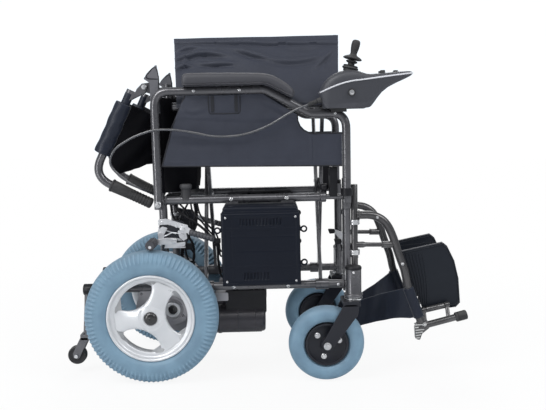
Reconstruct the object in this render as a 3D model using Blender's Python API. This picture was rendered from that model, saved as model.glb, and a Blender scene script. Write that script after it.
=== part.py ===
# Folding power wheelchair, shown folded, with its back folded down and its footplates folded up.
# The chair faces +X and +Z is up. Sizes are in millimetres and become metres in the meshes.
# It is laid out level, with the rear axle over X = 0, then turned by RAKE about that axle.
# Side pieces are written once, with their distance from the middle, and made for both sides.

import math

import bmesh
import bpy
from mathutils import Matrix, Vector

MM = 0.001
GAP = 0.3                   # between pieces that touch
TURN_GAP = 0.6              # between pieces that turn on each other

# Whole chair
RAKE = 1.3                  # degrees, front up
FRONT_SHIFT = -303.9        # puts the middle of the chair's length over the origin
SIDE = 105                  # from the middle to each side frame's tubes, folded
OPEN_SIDE = 214.4           # the same, opened

# Side frame
TUBE_R = 11
TUBE_SIDES = 8
BEND_R = 40
LOW_RAIL_Z = 237
HIGH_RAIL_Z = 473
RAIL_REAR_X = -165
REAR_POST_X = 32
FRONT_POST_X = 519
CANE_X = 25
CANE_TOP_Z = 790
AXLE_PLATE_T = 8
SADDLE_X = 484
STOP_X = 94

# Cross brace
BRACE_ARM = 262.5           # from the middle bolt to each end
BRACE_WIDE = 26
BRACE_T = 10
BRACE_REAR_X = 139
BRACE_FRONT_X = 448
SEAT_RAIL_REAR_X = 66
SEAT_RAIL_FRONT_X = 510

# Rear wheel
WHEEL_R = 175
TYRE_WIDE = 72
RIM_R = 115
RIM_BED_R = 107.7
WHEEL_SIDE = 160            # from the middle of the folded chair to the wheel's middle plane
HUB_R = 26
SPOKES = 3
WHEEL_STEPS = 24
CASTER_STEPS = 16

# Caster
CASTER_R = 100
CASTER_WIDE = 50
CASTER_RIM_R = 57
CASTER_SIDE = 152
STEM_X = 530
TRAIL = 72.8
CASTER_AXLE_Z = 89.6        # laid out level; the rake lifts it to the wheel's own radius
HOUSING_R = 21
HOUSING_LOW_Z = 214
HOUSING_HIGH_Z = 296
FORK_T = 5.5

# Anti-tip wheel
TIP_WHEEL_X = -217.5
TIP_WHEEL_Z = 56.5
TIP_WHEEL_R = 25
TIP_WHEEL_WIDE = 22
TIP_TUBE_R = 9

# Arm
ARM_CLEAR = 7               # between the frame's tubes and the arm's
ARM_SIDE = SIDE + 2 * TUBE_R + ARM_CLEAR
ARM_PIVOT_X = 25
ARM_PIVOT_Z = 466
ARM_TOP_Z = 756
ARM_STEP_Z = 692
ARM_FRONT_X = 517
ARM_FRONT_Z = 490
PAD_WIDE = 50
PAD_SIDE = 145
PANEL_T = 4
PANEL_LOW_Z = 560

# Back
BACK_PIN_X = -3
BACK_PIN_Z = 770
BACK_FOLD = 153.4           # degrees from upright to folded down
GRIP_Z = 1040
GRIP_R = 14.5
GRIP_LONG = 109
CANE_BEND_R = 52
CLOTH_T = 4
SLEEVE_T = 2                # the wall of the sleeve that a cloth is sewn to
CLOTH_START = TUBE_R + 1.6  # the cloth is sewn into its sleeve's wall here

# Battery and motor
BATTERY_REAR_X = 188
BATTERY_FRONT_X = 392
BATTERY_LOW_Z = 251
BATTERY_HIGH_Z = 443
LID_H = 16
BATTERY_IN = 20
BATTERY_OUT = 170
BATTERY_SEAT_X = (216, 362)  # the middles of the blocks that hold the box
VENTS = 4                   # in each of the box's two rows
MOTOR_SIDE = 75
MOTOR_R = 38
MOTOR_Z = 138
GEAR_R = 56

# Brake
BRAKE_SIDE = 116
SHOE_R = 9

# Hanger
HANGER_X = 540
HANGER_TUBE_R = 9
HANGER_LOW_Z = 283
HANGER_HIGH_Z = 504
BUSH_Z = (322, 404)
LATCH_Z = 328
LATCH_PIN = (544, 303)
LATCH_SIDE = 90             # the lever's outer face, inside the bushes
PLATE_HINGE_SIDE = 84
PLATE_T = 8
PLATE_DROP = 14             # the footplate's middle lies this far below its hinge when down

# Joystick
STICK_X = 525
STICK_Z = 800
STICK_LEAN = 14
BOX_WIDE = 70
POD_SIDE = 157              # outboard, clear of the seat rail
CABLE_R = 3
RELIEF_LONG = 36            # the sleeve where the lead leaves the pod


# Placing and outlines


def steps_of(count, start=0.0, end=1.0):
    return [start + (end - start) * i / (count - 1) for i in range(count)]


def rounded(outline, radius, steps=3, closed=True):
    """The corners of a flat outline or of a path in space, turned into arcs."""
    points = [Vector(p) for p in outline]
    result = []
    for i, corner in enumerate(points):
        if not closed and i in (0, len(points) - 1):
            result.append(corner)
            continue
        before = points[i - 1] - corner
        after = points[(i + 1) % len(points)] - corner
        angle = before.angle(after)
        if angle > math.radians(172):
            result.append(corner)
            continue
        reach = min(radius / math.tan(angle / 2), before.length * 0.48, after.length * 0.48)
        start = corner + before.normalized() * reach
        end = corner + after.normalized() * reach
        for t in steps_of(steps + 1):
            result.append(start.lerp(corner, t).lerp(corner.lerp(end, t), t))
    return result


def turned_about(x, z, pin_x, pin_z, degrees):
    """A point turned about a crosswise pin; positive takes the front down."""
    c = math.cos(math.radians(degrees))
    s = math.sin(math.radians(degrees))
    return (pin_x + (x - pin_x) * c + (z - pin_z) * s, pin_z - (x - pin_x) * s + (z - pin_z) * c)


# Closed shapes, each a list of points and a list of faces


def skin(rings, loop=False):
    """Faces between rings of equally many points, with both ends closed, or joined up as a loop."""
    size = len(rings[0])
    points = [Vector(p) for ring in rings for p in ring]
    faces = []
    for k in range(len(rings) if loop else len(rings) - 1):
        a = k * size
        b = (k + 1) % len(rings) * size
        for i in range(size):
            j = (i + 1) % size
            faces.append((a + i, a + j, b + j, b + i))
    if not loop:
        faces.append(tuple(reversed(range(size))))
        faces.append(tuple(range(len(points) - size, len(points))))
    return points, faces


def circle(centre, first, second, radius, sides, turn=0.5):
    """Points round a centre in the plane of two directions; turn shifts them by part of a side."""
    ring = []
    for i in range(sides):
        a = 2 * math.pi * (i + turn) / sides
        ring.append(centre + (first * math.cos(a) + second * math.sin(a)) * radius)
    return ring


def tube(path, radius, sides=TUBE_SIDES):
    """A round bar along a path, with mitred rings."""
    path = [Vector(p) for p in path]
    rings = []
    normal = None
    for i, p in enumerate(path):
        into = (p - path[i - 1]).normalized() if i else None
        out = (path[i + 1] - p).normalized() if i < len(path) - 1 else None
        along = ((into or out) + (out or into)).normalized()
        if normal is None:
            helper = Vector((0, 1, 0)) if abs(along.y) < 0.9 else Vector((1, 0, 0))
            normal = helper
        normal = (normal - along * normal.dot(along)).normalized()
        side = along.cross(normal)
        ring = circle(p, normal, side, radius, sides)
        if into and out:
            ring = [q - into * ((q - p).dot(along) / into.dot(along)) for q in ring]
            ring = [q + into * ((p - q).dot(along) / into.dot(along)) for q in ring]
        rings.append(ring)
    return skin(rings)


def lathe(profile, centre, axis, sides=12, bore=False, turn=0.5):
    """A turned shape: profile points are (radius, along). With a bore, the profile closes on itself."""
    centre = Vector(centre)
    axis = Vector(axis).normalized()
    helper = Vector((0, 0, 1)) if abs(axis.z) < 0.9 else Vector((1, 0, 0))
    first = (helper - axis * helper.dot(axis)).normalized()
    second = axis.cross(first)
    rings = [circle(centre + axis * along, first, second, r, sides, turn) for r, along in profile]
    return skin(rings, loop=bore)


def rod(centre, axis, radius, start, end, sides=TUBE_SIDES):
    return lathe([(radius, start), (radius, end)], centre, axis, sides)


def ring(centre, axis, inner, outer, start, end, sides=10):
    """A sleeve whose flats clear a bar of the inner radius."""
    bore = inner / math.cos(math.pi / sides)
    return lathe([(bore, start), (outer, start), (outer, end), (bore, end)], centre, axis, sides, bore=True)


def slab(outline, near, far):
    """An outline of (x, z) points between two distances from the middle."""
    return skin([[(p[0], near, p[1]) for p in outline], [(p[0], far, p[1]) for p in outline]])


def block(x0, x1, near, far, z0, z1):
    return slab([(x0, z0), (x1, z0), (x1, z1), (x0, z1)], near, far)


def cloth(grid, thickness):
    """A sheet of even thickness about a grid of points."""
    grid = [[Vector(p) for p in row] for row in grid]
    rows = len(grid)
    columns = len(grid[0])
    front = []
    back = []
    for i in range(rows):
        for j in range(columns):
            along = grid[min(i + 1, rows - 1)][j] - grid[max(i - 1, 0)][j]
            across = grid[i][min(j + 1, columns - 1)] - grid[i][max(j - 1, 0)]
            normal = along.cross(across).normalized() * (thickness / 2)
            front.append(grid[i][j] + normal)
            back.append(grid[i][j] - normal)
    count = rows * columns
    faces = []
    for i in range(rows - 1):
        for j in range(columns - 1):
            a = i * columns + j
            quad = (a, a + 1, a + columns + 1, a + columns)
            faces.append(quad)
            faces.append(tuple(count + k for k in reversed(quad)))
    edge = [j for j in range(columns)]
    edge += [i * columns + columns - 1 for i in range(1, rows)]
    edge += [(rows - 1) * columns + j for j in range(columns - 2, -1, -1)]
    edge += [i * columns for i in range(rows - 2, 0, -1)]
    for k, a in enumerate(edge):
        b = edge[(k + 1) % len(edge)]
        faces.append((a, count + a, count + b, b))
    return front + back, faces


# Bodies and objects


PAINTS = {
    "gunmetal": ((0.075, 0.075, 0.085), 0.42, 0.55),
    "black_steel": ((0.03, 0.03, 0.035), 0.45, 0.5),
    "silver": ((0.62, 0.63, 0.65), 0.3, 0.9),
    "rim_silver": ((0.78, 0.79, 0.81), 0.35, 0.6),
    "blue_tyre": ((0.21, 0.37, 0.53), 0.75, 0.0),
    "black_plastic": ((0.022, 0.024, 0.03), 0.5, 0.0),
    "navy_plastic": ((0.014, 0.018, 0.026), 0.42, 0.0),
    "rubber": ((0.02, 0.02, 0.022), 0.8, 0.0),
    "slate_cloth": ((0.055, 0.058, 0.075), 0.85, 0.0),
    "black_cloth": ((0.012, 0.013, 0.018), 0.9, 0.0),
    "slate_plastic": ((0.05, 0.055, 0.07), 0.4, 0.0),
    "cable_black": ((0.02, 0.021, 0.025), 0.5, 0.0),
}

bodies = {}


def paint(name, kind):
    colour, roughness, metallic = PAINTS[kind]
    material = bpy.data.materials.new(name)
    material.use_nodes = True
    shader = material.node_tree.nodes["Principled BSDF"]
    shader.inputs["Base Color"].default_value = (*colour, 1)
    shader.inputs["Roughness"].default_value = roughness
    shader.inputs["Metallic"].default_value = metallic
    return material


def body(name, at, parent=None):
    """An empty on the body's joint axis. Every body but the first hangs from its parent's empty."""
    empty = bpy.data.objects.new(name, None)
    empty.empty_display_size = 0.03
    bpy.context.collection.objects.link(empty)
    place = Vector(at)
    if parent:
        empty.parent = bodies[parent][0]
        empty.location = (place - bodies[parent][1]) * MM
    else:
        turn = Matrix.Rotation(math.radians(-RAKE), 4, "Y")
        axle = Vector((0, 0, WHEEL_R)) * MM
        empty.matrix_world = (
            Matrix.Translation(Vector((FRONT_SHIFT * MM, 0, 0)) + axle) @ turn @ Matrix.Translation(-axle)
        )
    bodies[name] = (empty, place)


def solid_object(shape, hand):
    """A closed mesh object in metres; hand is -1 for the chair's right side and 1 for its left."""
    points, faces = shape
    mesh = bpy.data.meshes.new("shape")
    mesh.from_pydata([(p.x * MM, p.y * hand * MM, p.z * MM) for p in map(Vector, points)], [], faces)
    shell = bmesh.new()
    shell.from_mesh(mesh)
    bmesh.ops.recalc_face_normals(shell, faces=shell.faces)
    shell.to_mesh(mesh)
    shell.free()
    obj = bpy.data.objects.new("shape", mesh)
    bpy.context.collection.objects.link(obj)
    return obj


def node(name, on, kind, adds, cuts=(), hand=1):
    """One named object: the first shapes joined, then the cuts taken out, on its body's empty."""
    base = solid_object(adds[0], hand)
    tools = []
    for operation, shapes in (("UNION", adds[1:]), ("DIFFERENCE", cuts)):
        for shape in shapes:
            tool = solid_object(shape, hand)
            tools.append(tool)
            boolean = base.modifiers.new(operation, "BOOLEAN")
            boolean.operation = operation
            boolean.solver = "EXACT"
            boolean.object = tool
    bpy.context.view_layer.update()
    mesh = bpy.data.meshes.new_from_object(base.evaluated_get(bpy.context.evaluated_depsgraph_get()))
    for tool in tools + [base]:
        bpy.data.objects.remove(tool)
    empty, place = bodies[on]
    mesh.name = name
    mesh.transform(Matrix.Translation(-place * MM))
    mesh.shade_smooth()
    mesh.set_sharp_from_angle(angle=math.radians(35))
    mesh.materials.clear()
    mesh.materials.append(paint(name, kind))
    obj = bpy.data.objects.new(name, mesh)
    bpy.context.collection.objects.link(obj)
    obj.parent = empty
    return obj


# Side frame


def frame_piece(name, on, hand):
    """Posts, rails, lower cane, caster housing, axle plate, saddles, bushes and the anti-tip arm."""
    rear = [(REAR_POST_X, SIDE, LOW_RAIL_Z - 14), (REAR_POST_X, SIDE, HIGH_RAIL_Z - 20),
            (CANE_X, SIDE, HIGH_RAIL_Z + 16), (CANE_X, SIDE, CANE_TOP_Z)]
    collar_x = 457
    adds = [
        tube(rear, TUBE_R),
        rod((0, SIDE, LOW_RAIL_Z), (1, 0, 0), TUBE_R, RAIL_REAR_X, FRONT_POST_X),
        rod((0, SIDE, HIGH_RAIL_Z), (1, 0, 0), TUBE_R, REAR_POST_X, collar_x - 8),
        rod((0, SIDE, HIGH_RAIL_Z), (1, 0, 0), TUBE_R + 3, collar_x - 8, collar_x + 8),
        rod((0, SIDE, HIGH_RAIL_Z), (1, 0, 0), 7, collar_x, FRONT_POST_X, 8),
        rod((FRONT_POST_X, SIDE, 0), (0, 0, 1), TUBE_R, LOW_RAIL_Z - TUBE_R - 8, ARM_FRONT_Z - 2),
        rod((RAIL_REAR_X, SIDE, LOW_RAIL_Z), (1, 0, 0), TUBE_R + 3, -25, 2),
    ]
    adds += axle_plate()
    adds += caster_housing()
    adds += saddles()
    adds += hanger_bushes()
    adds += arm_sockets()
    adds += anti_tip_arm()
    adds += battery_seats()
    adds.append(slab(rounded([(BACK_PIN_X - 9, BACK_PIN_Z - 9), (CANE_X, BACK_PIN_Z - 22),
                              (CANE_X, BACK_PIN_Z + 14), (BACK_PIN_X - 9, BACK_PIN_Z + 9)], 7, 1),
                     SIDE - 2.5, SIDE + 2.5))
    cuts = [
        rod((BACK_PIN_X, SIDE, BACK_PIN_Z), (0, 1, 0), 4 + TURN_GAP, -4, 4, 8),
        rod((0, SIDE, WHEEL_R), (0, 1, 0), 12, -12, 12),
    ]
    if hand < 0:
        adds += lead_socket()
    node(name, on, "gunmetal", adds, cuts, hand)


def axle_plate():
    """The plate that carries the wheel's axle and the motor, under the low rail."""
    outline = rounded([(-32, 150), (-20, 138), (40, 138), (90, 190), (90, LOW_RAIL_Z),
                       (-40, LOW_RAIL_Z), (-40, 160)], 12, 1)
    return [slab(outline, SIDE - AXLE_PLATE_T / 2, SIDE + AXLE_PLATE_T / 2)]


def caster_housing():
    """The upright bearing tube beside the front post, its two webs, its flange and its cap."""
    centre = (STEM_X, CASTER_SIDE, 0)
    flange_r = HOUSING_R + 4
    profile = [(flange_r, HOUSING_LOW_Z), (flange_r, HOUSING_LOW_Z + 7), (HOUSING_R, HOUSING_LOW_Z + 9),
               (HOUSING_R, HOUSING_HIGH_Z - 7), (HOUSING_R - 4, HOUSING_HIGH_Z)]
    shapes = [lathe(profile, centre, (0, 0, 1))]
    for low in (HOUSING_LOW_Z + 14, HOUSING_HIGH_Z - 32):
        shapes.append(slab([(FRONT_POST_X - 8, low), (STEM_X + 8, low), (STEM_X + 8, low + 18),
                            (FRONT_POST_X - 8, low + 18)], SIDE + 3, CASTER_SIDE - 8))
    return shapes


def saddles():
    """The cup that the seat rail drops into at the front, with its knob, and the rubber stop behind."""
    seat_z = HIGH_RAIL_Z + 67
    low = HIGH_RAIL_Z + 2
    half = TUBE_R + 7
    cup = [Vector(p) for p in ((-half, low), (half, low), (half, seat_z + 14), (TUBE_R + 2, seat_z + 14),
                               (TUBE_R + 2, seat_z - TUBE_R - 2), (-TUBE_R - 2, seat_z - TUBE_R - 2),
                               (-TUBE_R - 2, seat_z + 14), (-half, seat_z + 14))]
    shape = skin([[(x, SIDE + p[0], p[1]) for p in cup] for x in (SADDLE_X - 10, SADDLE_X + 10)])
    knob = lathe([(7, HIGH_RAIL_Z), (7, HIGH_RAIL_Z + 18), (11, HIGH_RAIL_Z + 22), (9, HIGH_RAIL_Z + 34)],
                 (SADDLE_X - 24, SIDE, 0), (0, 0, 1), 6)
    stop = lathe([(14, HIGH_RAIL_Z), (13, HIGH_RAIL_Z + 28), (16, HIGH_RAIL_Z + 31),
                  (16, HIGH_RAIL_Z + 43)],
                 (STOP_X, SIDE, 0), (0, 0, 1), 8)
    return [shape, knob, stop]


def hanger_bushes():
    """The two rings on the front post that the hanger's upright turns in."""
    centre = (HANGER_X, SIDE, 0)
    bore = HANGER_TUBE_R + TURN_GAP
    return [ring(centre, (0, 0, 1), bore, HANGER_TUBE_R + 5, z - 7, z + 7) for z in BUSH_Z]


def arm_sockets():
    """The pivot stud behind and the open socket in front that carry the arm."""
    stud = [rod((ARM_PIVOT_X, SIDE, ARM_PIVOT_Z), (0, 1, 0), 13, 5, ARM_SIDE - SIDE - TUBE_R - 1.5),
            rod((ARM_PIVOT_X, SIDE, ARM_PIVOT_Z), (0, 1, 0), 5, 5, ARM_SIDE - SIDE + TUBE_R + 4, 8),
            rod((ARM_PIVOT_X, ARM_SIDE, ARM_PIVOT_Z), (0, 1, 0), 9, TUBE_R + 1, TUBE_R + 6, 8)]
    bore = TUBE_R + 1.6
    cup_low = ARM_FRONT_Z - 6
    cup = lathe([(bore + 2.6, cup_low - 6), (bore + 2.6, ARM_FRONT_Z + 8), (bore, ARM_FRONT_Z + 8),
                 (bore, cup_low)],
                (ARM_FRONT_X, ARM_SIDE, 0), (0, 0, 1))
    web = block(FRONT_POST_X - 9, FRONT_POST_X + 9, SIDE + 4, ARM_SIDE - TUBE_R,
                ARM_FRONT_Z - 48, ARM_FRONT_Z - 4)
    under = block(FRONT_POST_X - 9, FRONT_POST_X + 9, ARM_SIDE - TUBE_R - 2, ARM_SIDE + 6,
                  ARM_FRONT_Z - 30, ARM_FRONT_Z - 10)
    return stud + [cup, web, under]


def anti_tip_arm():
    """The tube behind the rail that slopes down to the small wheel's fork."""
    shapes = [tube([(RAIL_REAR_X - 15, SIDE, LOW_RAIL_Z), (RAIL_REAR_X - 18, SIDE, 190),
                    (RAIL_REAR_X - 25, SIDE, 112)], TIP_TUBE_R)]
    half = TIP_WHEEL_WIDE / 2 + 1
    crown_x = RAIL_REAR_X - 25
    shapes.append(block(crown_x - 14, crown_x + 12, SIDE - half - 3, SIDE + half + 3, 100, 116))
    blade = [(crown_x - 14, 108), (crown_x + 10, 108), (TIP_WHEEL_X + 9, TIP_WHEEL_Z - 4),
             (TIP_WHEEL_X + 3, TIP_WHEEL_Z - 9), (TIP_WHEEL_X - 8, TIP_WHEEL_Z - 5),
             (TIP_WHEEL_X - 9, TIP_WHEEL_Z + 8)]
    for low in (SIDE - half - 3, SIDE + half):
        shapes.append(slab(blade, low, low + 3))
    shapes.append(rod((TIP_WHEEL_X, SIDE, TIP_WHEEL_Z), (0, 1, 0), 4, -half - 5, half + 5, 8))
    return shapes


def battery_seats():
    """Short blocks on both rails that hold the battery box above and below."""
    lid_z = BATTERY_HIGH_Z + LID_H
    shapes = []
    for x in BATTERY_SEAT_X:
        shapes.append(block(x - 16, x + 16, SIDE - 9, SIDE + 9, LOW_RAIL_Z + 4, BATTERY_LOW_Z - GAP))
        shapes.append(block(x - 16, x + 16, SIDE - 9, SIDE + 9, lid_z + GAP, HIGH_RAIL_Z - 4))
    return shapes


# Battery box and motor


def battery_piece(name, on, hand):
    """A box with a lid that slopes in, two belts, two rows of vents and its lash tabs."""
    x0, x1, z0, z1 = BATTERY_REAR_X, BATTERY_FRONT_X, BATTERY_LOW_Z, BATTERY_HIGH_Z
    face = rounded([(x0, z0), (x1, z0), (x1, z1), (x0, z1)], 8, 1)
    def layer(inset, out):
        middle_x, middle_z = (x0 + x1) / 2, (z0 + z1) / 2
        k_x = 1 - 2 * inset / (x1 - x0)
        k_z = 1 - 2 * inset / (z1 - z0)
        return [(middle_x + (p[0] - middle_x) * k_x, out, middle_z + (p[1] - middle_z) * k_z) for p in face]
    adds = [skin([layer(0, BATTERY_IN), layer(0, BATTERY_OUT - 5), layer(4, BATTERY_OUT)])]
    lid_low = [(x0 + 3, z1 - 4), (x1 - 3, z1 - 4)]
    def lid_ring(inset, z):
        return [(x0 + 3 + inset, BATTERY_IN + inset, z), (x1 - 3 - inset, BATTERY_IN + inset, z),
                (x1 - 3 - inset, BATTERY_OUT - 3 - inset, z), (x0 + 3 + inset, BATTERY_OUT - 3 - inset, z)]
    adds.append(skin([lid_ring(0, lid_low[0][1]), lid_ring(0, z1 + 3), lid_ring(14, z1 + LID_H)]))
    for z in (z0 + 47, z0 + 146):
        adds.append(block(x0 - 3, x1 + 3, BATTERY_IN + 10, BATTERY_OUT + 2.5, z, z + 9))
    for x, reach, z in ((x0 - 10, 12, z1 - 46), (x1 + 10, -12, z1 - 46), (x1 + 10, -12, z0 + 58)):
        adds.append(rod((x, BATTERY_OUT - 12, z), (0, 1, 0), 9, -3, 3, 8))
        adds.append(block(min(x, x + reach), max(x, x + reach), BATTERY_OUT - 15, BATTERY_OUT - 9,
                          z - 5, z + 5))
    cuts = []
    for row_z in (z1 - 21, z0 + 19):
        for i in range(VENTS):
            x = (x0 + x1) / 2 + (i - (VENTS - 1) / 2) * 18 - 4
            cuts.append(block(x, x + 8, BATTERY_OUT - 6, BATTERY_OUT + 10, row_z, row_z + 12))
    node(name, on, "navy_plastic", adds, cuts, hand)


def motor_piece(name, on, hand):
    """The motor lying fore and aft, its gearbox round the axle, the brake block over it."""
    centre = (0, MOTOR_SIDE, MOTOR_Z)
    profile = [(MOTOR_R, 94), (MOTOR_R, 168), (MOTOR_R + 1.5, 170), (MOTOR_R, 177), (MOTOR_R, 288),
               (MOTOR_R - 6, 297)]
    gear = []
    for i in range(13):
        a = math.radians(60 + 25 * i)
        gear.append((GEAR_R * math.cos(a), WHEEL_R + GEAR_R * math.sin(a)))
    gear = [p for p in gear if not (p[0] > 20 and p[1] < WHEEL_R - 20)]
    gear += [(96, MOTOR_Z - 32), (96, MOTOR_Z + 36)]
    gear.sort(key=lambda p: math.atan2(p[1] - MOTOR_Z - 20, p[0] - 20))
    face = SIDE - AXLE_PLATE_T / 2 - GAP
    adds = [
        lathe(profile, centre, (1, 0, 0), 12),
        slab(gear, MOTOR_SIDE - 25, SIDE - TUBE_R - 1),
        rod((0, 0, WHEEL_R), (0, 1, 0), 34, MOTOR_SIDE - 34, face, 12),
        rod((47, 0, WHEEL_R + 1), (0, 1, 0), 14, MOTOR_SIDE, face, 12),
        slab(rounded([(189, MOTOR_Z + 20), (300, MOTOR_Z + 20), (300, 218), (292, 222), (189, 222)], 6, 1),
             MOTOR_SIDE - 26, MOTOR_SIDE + 22),
        slab(rounded([(161, MOTOR_Z + 20), (200, MOTOR_Z + 20), (200, 219), (161, 219)], 4, 1),
             MOTOR_SIDE - 18, MOTOR_SIDE + 16),
    ]
    node(name, on, "black_steel", adds, (), hand)


# Rear wheel


def rear_rim(name, on, hand):
    """A cast wheel turned from one profile, shaft to flanges, then cut to three curved spokes."""
    plate = SIDE + AXLE_PLATE_T / 2 - WHEEL_SIDE
    profile = [(10, plate - AXLE_PLATE_T), (10, -18), (HUB_R, -12), (HUB_R + 4, 7), (RIM_BED_R - 10, 4),
               (RIM_BED_R - 9, -23), (RIM_R - 2, -29), (RIM_R, -26.5), (RIM_BED_R, -22.5),
               (RIM_BED_R, 22.5), (RIM_R, 26.5), (RIM_R - 2, 29), (RIM_BED_R - 8, 17), (70, 14),
               (HUB_R + 5, 21), (HUB_R - 3, 26), (9, 30)]
    centre = (0, WHEEL_SIDE, WHEEL_R)
    cuts = []
    for k in range(SPOKES):
        first = 66 + 360 / SPOKES * k
        side = ((40, 50), (50, 28), (72, 18), (91, 21))
        outline = [(r, first + a) for r, a in side]
        outline += [(95, first + a) for a in (32, 51, 69, 88)]
        outline += [(r, first + 120 - a) for r, a in reversed(side)]
        turns = [(r, math.radians(a)) for r, a in outline]
        flat = [(r * math.cos(a), WHEEL_R + r * math.sin(a)) for r, a in turns]
        cuts.append(slab(flat, WHEEL_SIDE - 2, WHEEL_SIDE + 40))
    node(name, on, "rim_silver", [lathe(profile, centre, (0, 1, 0), WHEEL_STEPS, turn=0.0)], cuts, hand)


def tyre(name, on, hand, centre, outer, inner, wide, steps, ribs):
    """A round-shouldered tyre on its bed, with grooves round the tread."""
    half = wide / 2
    deep = outer - inner
    bead = half - (11 if ribs else 3)
    right = [(inner + GAP, bead - 2.5), (inner + 0.2 * deep, bead - 2.2), (inner + 0.42 * deep, half),
             (inner + 0.7 * deep, half * 0.95), (outer - 0.06 * deep, half * 0.6)]
    if ribs:
        right += [(outer - 0.07 * deep, half * 0.34)]
    right += [(outer, half * 0.22)]
    profile = right + [(r, -a) for r, a in reversed(right)]
    shape = lathe(profile, centre, (0, 1, 0), steps, bore=True, turn=0.0)
    node(name, on, "blue_tyre", [shape], (), hand)


# Caster


def caster_fork(name, on, hand):
    """A crown plate on its stem, with a blade down each side of the wheel and the axle bolt."""
    axle_x = STEM_X - TRAIL
    axle_z = CASTER_AXLE_Z
    half = CASTER_WIDE / 2 + 3.5
    blade = rounded([(STEM_X - 27, 203), (STEM_X + 10, 203), (STEM_X + 8, 176), (axle_x + 15, axle_z - 6),
                     (axle_x - 4, axle_z - 14), (axle_x - 14, axle_z + 2), (axle_x - 8, axle_z + 15)], 9, 1)
    crown = rounded([(STEM_X - 30, 191), (STEM_X + 14, 191), (STEM_X + 14, 206), (STEM_X - 30, 206)], 4, 1)
    adds = [slab(crown, CASTER_SIDE - half - FORK_T, CASTER_SIDE + half + FORK_T),
            slab(blade, CASTER_SIDE - half - FORK_T, CASTER_SIDE - half),
            slab(blade, CASTER_SIDE + half, CASTER_SIDE + half + FORK_T),
            lathe([(17, 196), (17, 209), (14, 211), (14, HOUSING_LOW_Z - GAP)], (STEM_X, CASTER_SIDE, 0),
                  (0, 0, 1), 12),
            rod((axle_x, CASTER_SIDE, axle_z), (0, 1, 0), 5, -half - FORK_T - 3, half + FORK_T + 3, 8),
            rod((axle_x, CASTER_SIDE, axle_z), (0, 1, 0), 9, half + FORK_T - 1, half + FORK_T + 5, 6)]
    node(name, on, "black_steel", adds, (), hand)


def caster_rim(name, on, hand):
    """A dished disc with its hub and three bolt bosses, bored for the axle."""
    centre = (STEM_X - TRAIL, CASTER_SIDE, CASTER_AXLE_Z)
    bore = 5 + TURN_GAP
    half = CASTER_WIDE / 2
    outer = [(bore, half + 2), (14, half + 2), (18, half - 7), (CASTER_RIM_R - 6, half - 4),
             (CASTER_RIM_R, half - 3.5), (CASTER_RIM_R, half - 6.5)]
    profile = outer + [(r, -a) for r, a in reversed(outer)]
    adds = [lathe(profile, centre, (0, 1, 0), CASTER_STEPS, bore=True, turn=0.0)]
    for k in range(3):
        a = math.radians(90 + 120 * k)
        place = (centre[0] + 34 * math.cos(a), CASTER_SIDE, centre[2] + 34 * math.sin(a))
        adds.append(rod(place, (0, 1, 0), 6, half - 14, half - 3, 6))
    node(name, on, "black_steel", adds, (), hand)


def tip_wheel(name, on, hand):
    """A small solid wheel with a groove, bored for its axle."""
    bore = 4 + TURN_GAP
    half = TIP_WHEEL_WIDE / 2
    profile = [(bore, half), (10, half), (13, half - 2), (TIP_WHEEL_R - 3, half - 1),
               (TIP_WHEEL_R, half - 5)]
    profile += [(r, -a) for r, a in reversed(profile)]
    shape = lathe(profile, (TIP_WHEEL_X, SIDE, TIP_WHEEL_Z), (0, 1, 0), 12, bore=True, turn=0.0)
    node(name, on, "rubber", [shape], (), hand)


# Arm


def arm_path():
    slope_x = 310
    low_x = 426
    return [(CANE_X, ARM_SIDE, ARM_PIVOT_Z - 13), (CANE_X, ARM_SIDE, ARM_TOP_Z),
            (slope_x, ARM_SIDE, ARM_TOP_Z), (low_x, ARM_SIDE, ARM_STEP_Z),
            (ARM_FRONT_X, ARM_SIDE, ARM_STEP_Z), (ARM_FRONT_X, ARM_SIDE, ARM_FRONT_Z)]


def arm_piece(name, on, hand):
    """One bent tube from the rear pivot, forward under the pad, down a step and into the front socket."""
    adds = [tube(rounded(arm_path(), BEND_R, 3, closed=False), TUBE_R)]
    cuts = [rod((ARM_PIVOT_X, ARM_SIDE, ARM_PIVOT_Z), (0, 1, 0), 5 + TURN_GAP, -20, 20, 8)]
    node(name, on, "gunmetal", adds, cuts, hand)


def pad_piece(name, on, hand):
    """The moulded pad: flat on top, crowned across, drawn in below, its front end sloping down."""
    low = ARM_TOP_Z + TUBE_R + GAP
    top = low + 31
    rear_x = 101
    spine = [(rear_x, low + 2, top - 9), (rear_x + 4, low, top - 3), (rear_x + 14, low, top),
             (rear_x + 110, low, top - 1.5), (rear_x + 206, low, top - 4), (rear_x + 226, low - 4, top - 8),
             (rear_x + 252, low - 18, top - 26), (rear_x + 274, low - 31, top - 44),
             (rear_x + 281, low - 33, top - 52)]
    rings = []
    for x, z0, z1 in spine:
        half = PAD_WIDE / 2 if rear_x < x < rear_x + 281 else PAD_WIDE / 2 - 5
        crown = 3.0
        waist = (z0 * 2 + z1) / 3
        section = [(4 - half, z0), (half - 4, z0), (half, waist), (half, z1 - 7), (half - 6, z1 - 1),
                   (0, z1 + crown - 2), (6 - half, z1 - 1), (-half, z1 - 7), (-half, waist)]
        rings.append([(x, PAD_SIDE + o, z) for o, z in section])
    node(name, on, "black_plastic", [skin(rings)], (), hand)


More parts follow.
